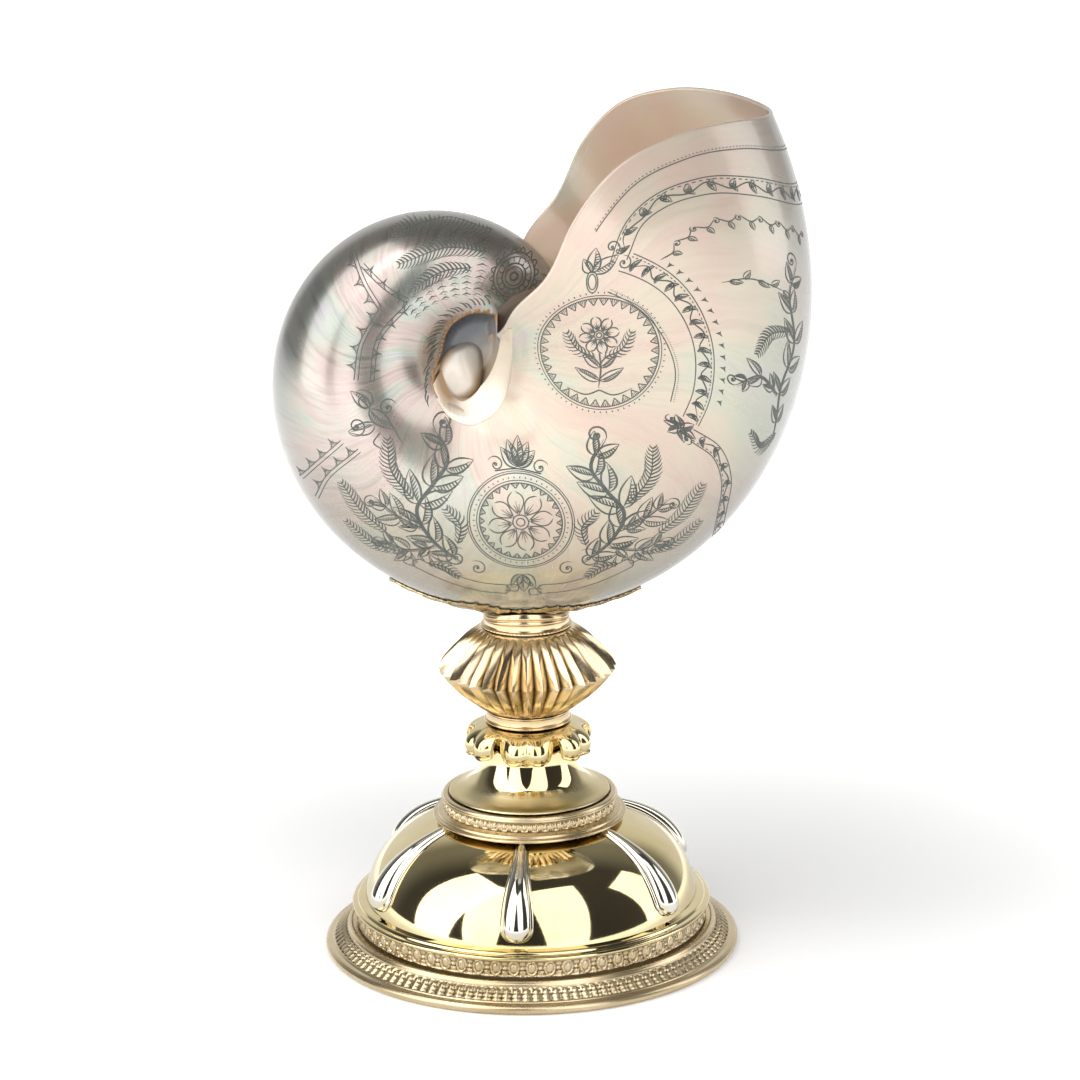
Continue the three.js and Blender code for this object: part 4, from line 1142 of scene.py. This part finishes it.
def dense(outline, longest):
    """Adds points so that no straight run is longer than longest."""
    p = np.array(outline, float)
    out = []
    for i in range(len(p)):
        a, b = p[i], p[(i + 1) % len(p)]
        n = max(1, int(math.ceil(np.linalg.norm(b - a) / longest)))
        for k in range(n):
            out.append(a + (b - a) * k / n)
    return np.array(out)


flange_rim = rounded([(49.5, 6.2), (52.6, 5.7), (56.2, 0), (59.2, 0), (FOOT_R, 0.9), (FOOT_R, 2.0),
                      (59.3, 2.8), (58.2, 2.9), (57.9, 3.3), (LEAF_OUT, 3.4)], 0.35)
flange_slope = [(LEAF_OUT - 3.7 * f, 3.4 + 2.75 * f) for f in np.linspace(0, 1, 20)]
flange_ledge = rounded([(53.9, 6.15), (53.8, 6.7), (53.45, 7.1), (53.3, 7.6), (52.6, 7.6), (52.3, 7.3),
                        (49.5, 7.3)], 0.25)
flange = np.vstack([flange_rim[:-2], flange_slope, flange_ledge[2:-1]])
lathe("foot_flange", flange, GILT_STAMPED, LEAVES * 7, flange_relief)


def band_relief(r, z, a):
    """Ovals in raised frames, linked by a small knot between each pair."""
    face = r > BAND_EDGE
    u = ((a / TAU * OVALS) % 1 - 0.5) * OVAL_PITCH
    v = z - 10.35
    d = np.sqrt((u / 1.42) ** 2 + (v / 1.98) ** 2)
    rim = np.exp(-((d - 0.98) / 0.15) ** 4)
    boss = 0.62 * np.clip(1 - (d / 0.72) ** 4, 0, 1) ** 0.5
    w = OVAL_PITCH / 2 - np.abs(u)
    knot = np.clip(1 - ((w / 0.75) ** 2 + (v / 0.5) ** 2), 0, 1) ** 0.5
    husk = np.exp(-((w - 0.45) / 0.2) ** 2) * (np.abs(v) > 0.9) * 0.75
    stem = np.exp(-(w / 0.16) ** 2) * 0.6
    rules = [np.exp(-((z - level) / 0.16) ** 2) for level in (8.12, 12.5)]
    clear = d > 1.05
    h = np.maximum.reduce([rim, boss, knot * 0.9, husk * clear, stem * clear] + rules)
    # a low relief value round the ovals and knots paints shade there
    return np.where(face, r - 0.62 * (1 - h), r), z, np.where(face, np.clip(0.22 + h, 0, 1), 1.0)


band_face = [(BAND_R, z) for z in np.linspace(BAND_LOW, BAND_HIGH, 27)]
band = [(49.5, BAND_HIGH), (49.5, BAND_LOW), (BAND_EDGE, BAND_LOW)] + band_face + [(BAND_EDGE, BAND_HIGH)]
lathe("oval_band", band, GILT_STAMPED, OVALS * 20, band_relief, sharp=0)

DOME_R, DOME_Z0, DOME_H, DOME_POWER = 48.9, 8.0, 33.5, 2.5
SKIN_LOW, SKIN_HIGH = 15.6, 39.0


def dome_radius(z):
    return DOME_R * (1 - np.abs((z - DOME_Z0) / DOME_H) ** DOME_POWER) ** (1 / DOME_POWER)


heights = SKIN_LOW + (SKIN_HIGH - SKIN_LOW) * np.sin(np.linspace(0, math.pi / 2, 46))
skin = [(dome_radius(z), z) for z in heights]
lining = [(r - 1.4, z - 1.1) for r, z in skin[::-1] if z > 17]
ridge = rounded([(49.5, 13.0), (52.0, 13.0), (52.2, 13.4), (52.2, 13.9), (51.7, 14.3), (51.0, 14.45),
                 (50.7, 14.5), (50.5, 15.0), (50.0, 15.3), (49.2, 15.35)], 0.22)
crown = [(24.0, 39.2), (BORE, 39.2), (BORE, 37.8), (22.0, 37.8)]
dome = np.vstack([ridge[3:-3], skin, crown, lining, (47.2, SKIN_LOW)])
lathe("foot_dome", dome, GILT_POLISHED, 240, sharp=28)
LOBES = 6
LOBE_TURN = -95                       # the first lobe's direction, in degrees


def foot_lobe(index):
    """A silver tear lying on the dome inside a thin raised outline."""
    z = np.linspace(38.6, 17.2, 400)
    r = dome_radius(z)
    length = np.concatenate([[0], np.cumsum(np.hypot(np.diff(z), np.diff(r)))])
    total, cap = length[-1], 4.3
    round_end = np.sin(np.linspace(0.06, 1, 18) * math.pi / 2)
    stations = np.concatenate([np.linspace(0, total - cap, 44), total - cap * (1 - round_end)])
    direction = math.radians(LOBE_TURN + 360 / LOBES * index)
    points = []
    across = 33
    for s in stations:
        if s <= total - cap:
            f = s / (total - cap)
            w = 1.25 + 2.75 * smooth01(f) ** 1.15
        else:
            w = 4.0 * math.sqrt(max(0.0, 1 - ((s - (total - cap)) / (cap + 0.02)) ** 2))
        h = 0.80 * w
        zz, rr = np.interp(s, length, z), np.interp(s, length, r)
        slope = (dome_radius(zz + 0.05) - dome_radius(zz - 0.05)) / 0.1
        norm = math.hypot(1, slope)
        phi = np.linspace(0, math.pi, across - 8)
        rim = 0.55 + 0.1 * min(1, w)
        left = [(w + rim + 0.15, 0.0), (w + rim, 0.35), (w + rim * 0.55, 0.55), (w + 0.12, 0.30)]
        crest = [(-w * math.cos(p), 0.25 + h * math.sin(p)) for p in phi]
        for offset, height in [(-a, b) for a, b in left] + crest + left[::-1]:
            height = height + 0.12
            angle = direction + offset / rr
            radius = rr + height / norm
            points.append((radius * math.cos(angle), radius * math.sin(angle), zz - height * slope / norm))
    piece = mesh_piece(f"foot_lobe_fine_{index + 1}", points, grid_faces(len(stations), across, flip=True),
                       SILVER, {"relief": np.ones(len(points))}, sharp=50)
    declare(piece, f"foot_lobe_{index + 1}")


for index in range(LOBES):
    foot_lobe(index)


# ------------------------------------------------------------------ collar disc
ARCHES = 52
ARCH_PITCH = 3.0
ARCH_R = 24.3                         # the disc has arches outside this radius


def disc_relief(r, z, a):
    """A row of small arches with a bead in each, round the disc's edge."""
    on = (r > ARCH_R) * bump01(z, 41.95, 44.5, 0.15)
    u = ((a / TAU * ARCHES) % 1 - 0.5) * ARCH_PITCH
    v = z - 43.1
    d = np.sqrt((u / 1.12) ** 2 + (v / 1.35) ** 2)
    arch = np.exp(-((d - 0.95) / 0.20) ** 2) * (v < 0.9)
    bead = np.clip(1 - (d / 0.6) ** 2, 0, 1) ** 0.5
    between = np.exp(-((ARCH_PITCH / 2 - np.abs(u)) / 0.18) ** 2) * 0.8
    h = np.maximum.reduce([arch, bead, between]) * on
    band_here = (r > ARCH_R) & (z > 41.75) & (z < 44.75)
    # a low relief value round the arches and beads paints shade there
    relief = np.where(band_here, np.clip(0.2 + h, 0, 1), 1.0)
    return np.where(band_here, r - 0.55 * (1 - h), r), z, relief


disc = dense(rounded([
    (3.4, 39.5), (27.8, 39.5), (28.2, 39.9), (27.9, 40.4), (26.9, 40.5), (26.7, 40.75), (26.6, 41.2),
    (25.9, 41.4), (25.3, 41.6), (25.1, 41.8), (25.1, 44.7), (25.5, 44.9), (25.6, 45.3), (25.2, 45.55),
    (25.25, 45.8), (24.9, 46.25), (24.2, 46.4), (23.7, 46.3), (23.5, 46.1), (10.0, 46.0), (3.4, 46.0)],
    0.22), 0.46)
# the flat faces between the bore and the edge need few points
disc = [p for p in disc if p[0] > 22.0 or p[0] < 4.0 or int(p[0] * 10) % 9 == 0]
lathe("collar_disc", disc, GILT_STAMPED, ARCHES * 10, disc_relief, sharp=45)


# ------------------------------------------------------------------ stem
SPOOL = [(23.3, 46.75), (22.9, 47.15), (21.0, 47.75), (19.2, 48.75), (17.5, 50.05), (16.1, 51.2),
         (15.1, 52.4), (14.3, 53.9), (13.7, 55.5), (13.25, 57.2), (13.05, 59), (12.9, 61), (12.6, 63),
         (12.0, 65), (11.0, 66.6)]
PETALS = 6
PETAL_TURN = -92                      # the first petal's direction, in degrees
PLEATS = 36
KNOP_R, KNOP_NECK = 25.7, 12.6
KNOP_LOWER = [(12.5, 72.0), (14.4, 73.1), (16.9, 75.0), (19.4, 77.0), (21.5, 79.0), (23.3, 81.0),
              (25.0, 83.0), (KNOP_R, 84.0)]
KNOP_UPPER = [(KNOP_R, 84.0), (24.6, 86.0), (22.9, 88.0), (20.9, 90.0), (19.0, 92.0), (16.7, 94.0),
              (13.9, 95.9)]
NECK_TOP = 100.7


def spool_relief(r, z, a):
    """The polish grows dull towards the flared foot of the spool."""
    return r, z, 1 - smooth01((r - 15.5) / 4.0)


lathe("stem_spool", np.vstack([(BORE, 46.7), curve(SPOOL, 0.6), (BORE, 66.6)]),
      GILT_POLISHED, 200, spool_relief, sharp=40)


def petal_collar():
    """Six petals droop from a hub; each rim rolls out in two lobes and a point."""
    around, steps = 540, 32
    droop = curve([(11.4, 67.9), (12.8, 67.6), (15.6, 66.6), (17.7, 64.9), (18.6, 62.9), (18.4, 61.2),
                   (17.5, 59.7), (16.4, 58.5)], 0.3)
    walk = np.concatenate([[0], np.cumsum(np.linalg.norm(np.diff(droop, axis=0), axis=1))])
    total = walk[-1]
    rows = []
    for i in range(around):
        a = TAU * i / around
        phase = (a - math.radians(PETAL_TURN)) * PETALS / TAU
        q = abs((phase + 0.5) % 1 - 0.5) * 2
        lobes = 0.86 + 0.10 * math.sin(math.pi * min(q / 0.80, 1)) ** 0.8
        point = 0.16 * max(0.0, 1 - q / 0.16) ** 1.3
        gap = float(smooth01((q - 0.76) / 0.14))
        reach = (lobes + point) * (1 - gap) + 0.40 * gap
        cup = 1.9 * float(smooth01((q - 0.40) / 0.50)) - 0.5 * math.sin(math.pi * min(q / 0.7, 1))
        fold = 0.7 * math.exp(-(q / 0.16) ** 2)
        flare = 1.15 + 0.35 * math.sin(math.pi * min(q / 0.8, 1)) - 0.6 * gap
        row = []
        for outside in (True, False):
            for k in np.linspace(0, 1, steps) if outside else np.linspace(1, 0, steps):
                s = k * reach * total
                r, z = np.interp(s, walk, droop[:, 0]), np.interp(s, walk, droop[:, 1])
                roll = smooth01((k - 0.88) / 0.12) ** 1.5
                r = r + flare * roll - (cup + fold) * smooth01(k * reach * 1.2)
                z = z + 0.75 * roll ** 2
                if not outside:
                    thick = 0.9 - 0.3 * k
                    r = r - thick * (0.4 + 0.6 * k) * (1 - 0.5 * roll)
                    z = z - thick * ((1 - k) * 0.9 + 0.8 * roll)
                row.append((r * math.cos(a), r * math.sin(a), z))
        rows.append(row)
    points = np.array(rows).reshape(-1, 3)
    faces = grid_faces(around, 2 * steps, wrap_rows=True, wrap_cols=True)
    piece = mesh_piece("petal_collar_fine", points, faces, GILT_POLISHED,
                       {"relief": np.full(len(points), 0.8)}, sharp=60)
    declare(piece, "petal_collar")


petal_collar()
stem_ring = rounded([(BORE, 68.2), (12.6, 68.2), (12.7, 68.6), (12.5, 68.9), (12.1, 69.1), (12.05, 71.0),
                     (12.35, 71.2), (12.4, 71.6), (11.9, 71.7), (BORE, 71.7)], 0.2)
lathe("stem_ring", stem_ring, GILT_SATIN, 160)


def flutes(r, z, a):
    """Sharp pleats, deepest at the widest ring, with painted shade in their valleys."""
    u = (a / TAU * PLEATS) % 1
    fold = np.abs(2 * u - 1)                  # 0 in the valley, 1 on the ridge
    depth = 3.1 * np.clip((r - KNOP_NECK) / (KNOP_R - KNOP_NECK), 0, 1) ** 0.85
    on = (r > 12.0) * (z > 72.0) * (z < 96.0)
    # the valleys of the pleats get a low relief value, which paints shade into them
    recess_shade = (1 - np.clip(fold * 1.5, 0, 1)) * np.clip((r - KNOP_NECK) / 5, 0, 1)
    return r - depth * (1 - fold) * on, z, 1 - on * recess_shade


knop_top = curve([(13.3, 96.0), (13.35, 96.2), (13.1, 96.45)], 0.2)
knop = np.vstack([(BORE, 72.0), curve(KNOP_LOWER, 0.7), curve(KNOP_UPPER, 0.7)[1:], knop_top, (BORE, 96.4)])
lathe("knop", knop, GILT_FLUTED, PLEATS * 12, flutes, sharp=32)


def saddle(r, z, a):
    """The neck is round below; its top rises to front and back under the keel."""
    rise = 2.35 * np.clip(z - 97.6, 0, None) / (NECK_TOP - 97.6)
    bead = 0.16 * np.cos(a * 66) * np.exp(-((z - 97.0) / 0.35) ** 2) * (r > 12.4)
    return r + bead, z + rise * np.sin(a) ** 2 * (r > 6.1), np.clip(0.7 + bead * 3, 0, 1)


neck = dense(rounded([(BORE, 96.7), (12.9, 96.7), (13.1, 97.0), (12.9, 97.35), (12.3, 97.5), (12.15, 97.8),
                      (12.1, 98.6), (12.35, 98.75), (12.55, 99.0), (12.35, 99.3), (12.1, 99.45),
                      (12.4, 99.65), (12.65, 99.9), (12.5, 100.2), (12.2, NECK_TOP), (11.2, 100.6),
                      (BORE, 99.0)], 0.14), 0.5)
lathe("neck_ring", neck, GILT_SATIN, 200, saddle, sharp=40)


def calyx():
    """Thin plate under the keel with a scalloped, leafy edge."""
    rows, cols = 220, 41
    first, last = -0.414, -0.258      # growth at its two ends
    u = np.linspace(0, 1, rows)[:, None]
    v = np.linspace(-1, 1, cols)[None, :]
    growth = first + (last - first) * u
    middle = 2 * u - 1
    width = 12.8 * (0.34 + 0.66 * (1 - middle ** 2) ** 1.5) * (1 + 0.12 * np.cos(6 * math.pi * u))
    width = width * (1 - 0.10 * np.abs(np.sin(21 * math.pi * u)))
    side = v * width / (2 * SECTION_BREADTH * whorl_radius(growth))
    growth = np.broadcast_to(growth, side.shape)
    base, normal = flat_point(growth, side), flat_normal(growth, side)
    vein = np.exp(-(np.sin(10.5 * math.pi * u + 5 * np.abs(v)) / 0.35) ** 2)
    vein = vein * np.exp(-((np.abs(v) - 0.6) / 0.35) ** 2)
    edge = smooth01((1 - np.abs(v)) / 0.12)
    low = base + normal * 0.3
    high = base + normal * (0.5 + (0.45 * edge + 0.30 * vein)[..., None])
    points = np.concatenate([low.reshape(-1, 3), high.reshape(-1, 3)])
    count = rows * cols
    faces = grid_faces(rows, cols, flip=True) + grid_faces(rows, cols, start=count)
    left, right = range(0, count, cols), range(cols - 1, count, cols)
    for line, flip in ((left, False), (right, True), (range(cols), True), (range(count - cols, count), True)):
        for a, b in zip(line[:-1], line[1:]):
            faces.append((a, b, b + count, a + count) if flip else (a, a + count, b + count, b))
    # low relief between the veins and away from the edge paints the plate's middle as near-black shade
    relief = np.clip(0.25 + 0.75 * np.broadcast_to(vein + (1 - edge), side.shape), 0, 1).ravel()
    piece = mesh_piece("calyx_plate_fine", settle(points), faces, GILT_UNDER_KEEL,
                       {"relief": np.concatenate([relief, relief])}, sharp=60)
    declare(piece, "calyx_plate")


calyx()


# ------------------------------------------------------------------ rod and nut
THREAD_PITCH = 1.0
NUT_HALF = 5.5                        # from the middle of the nut to each of its six flats


def thread(r, z, a):
    on = (r > 2.5) * (z < 40)
    return r - 0.22 * on * (0.5 + 0.5 * np.cos(z * TAU / THREAD_PITCH - a)), z, np.ones_like(r)


rod = dense([(0.01, 31.5), (2.7, 31.5), (3.0, 31.9), (3.0, 41.0)], 0.25)[:-1]
rod = np.vstack([rod, [(3.0, 41.0), (3.0, 99.0), (2.8, 99.2), (0.01, 99.2)]])
lathe("tie_rod", rod, STEEL, 48, thread)


def hexed(r, z, a):
    flat = NUT_HALF / np.cos((a % (math.pi / 3)) - math.pi / 6)
    return np.where(r > 5.0, np.minimum(flat, r + 0.35), r), z, np.ones_like(r)


nut = [(3.3, 33.0), (5.4, 33.0), (6.35, 33.5), (6.35, 37.0), (5.4, 37.5), (3.3, 37.5)]
lathe("tie_nut", nut, STEEL, 96, hexed)


# ------------------------------------------------------------------ studio
PANEL_DISTANCE = 1.5
PANEL_LIFT = 0.05                     # the height that every panel faces
CAMERA_AT = (-0.00107, -1.2089, 0.46705)
CAMERA_DOWN = 15.95
CAMERA_ROLL = -0.94
CAMERA_LENS = 146.67


def floor():
    """Pale floor that glows more away from the object, to meet the bright surround."""
    p = Paint("studio_floor")
    tone = p.mix(p.noise(p.where(), 3.0, 2.0), (0.86, 0.86, 0.86), (0.88, 0.88, 0.88))
    away = p.node("ShaderNodeVectorMath", {0: p.where()}, output="Value", operation="LENGTH")
    glow = p.math("MULTIPLY_ADD", p.ramp(away, [(0.07, 0.0), (0.42, 1.0)], "EASE"), 0.80, 0.14)
    material = p.set(Base_Color=tone, Roughness=0.9, Emission_Color=(1.0, 1.0, 1.0), Emission_Strength=glow)
    n, reach = 24, 6000.0
    xs = np.linspace(-reach, reach, n)
    points = [(x, y, 0.0) for x in xs for y in xs]
    mesh_piece("studio_floor", points, grid_faces(n, n, flip=True), material, sharp=0)


def panel(name, azimuth, elevation, width, height, radiance):
    """Softbox facing the object. Azimuth 0 is in front, positive to the right."""
    light = bpy.data.lights.new(name, "AREA")
    light.shape = "RECTANGLE"
    light.size, light.size_y = width, height
    light.energy = radiance * math.pi * width * height
    holder = bpy.data.objects.new(name, light)
    a, e = math.radians(azimuth), math.radians(elevation)
    at = Vector((math.sin(a) * math.cos(e), -math.cos(a) * math.cos(e), math.sin(e))) * PANEL_DISTANCE
    holder.location = at + Vector((0, 0, PANEL_LIFT))
    holder.rotation_euler = at.to_track_quat("Z", "Y").to_euler()
    bpy.context.scene.collection.objects.link(holder)


def world():
    """A surround that is dim in front of the object and bright behind it."""
    w = bpy.data.worlds.new("studio")
    bpy.context.scene.world = w
    w.use_nodes = True
    tree = w.node_tree
    back = tree.nodes["Background"]
    coord = tree.nodes.new("ShaderNodeTexCoord")
    split = tree.nodes.new("ShaderNodeSeparateXYZ")
    tree.links.new(coord.outputs["Generated"], split.inputs[0])
    ramp = tree.nodes.new("ShaderNodeValToRGB")
    ramp.color_ramp.interpolation = "EASE"
    stops = [(0.0, 0.05), (0.58, 0.07), (0.80, 0.30), (0.91, 1.0)]
    while len(ramp.color_ramp.elements) < len(stops):
        ramp.color_ramp.elements.new(0.5)
    for element, (at, level) in zip(ramp.color_ramp.elements, stops):
        element.position = at
        element.color = (level, level, level * 0.98, 1)
    scale = tree.nodes.new("ShaderNodeMath")
    scale.operation = "MULTIPLY_ADD"
    scale.inputs[1].default_value = 0.5
    scale.inputs[2].default_value = 0.5
    tree.links.new(split.outputs[1], scale.inputs[0])
    tree.links.new(scale.outputs[0], ramp.inputs["Fac"])
    tree.links.new(ramp.outputs["Color"], back.inputs["Color"])
    back.inputs["Strength"].default_value = 0.9


floor()
world()
panel("soft_left_outer", -71, 34, 0.90, 2.2, 2.7)
panel("soft_left_inner", -35, 34, 0.74, 2.2, 2.5)
panel("soft_right", 24, 34, 0.92, 2.2, 2.2)
panel("soft_far_right", 95, 22, 0.62, 1.5, 2.2)

camera = bpy.data.cameras.new("camera")
camera.lens = CAMERA_LENS
camera.sensor_width = 36.0
camera.clip_start = 0.05
camera.clip_end = 50.0
eye = bpy.data.objects.new("camera", camera)
eye.location = CAMERA_AT
eye.rotation_euler = (Matrix.Rotation(math.radians(90 - CAMERA_DOWN), 3, "X")
                      @ Matrix.Rotation(math.radians(CAMERA_ROLL), 3, "Z")).to_euler()
bpy.context.scene.collection.objects.link(eye)
bpy.context.scene.camera = eye
bpy.context.scene.view_settings.view_transform = "Standard"
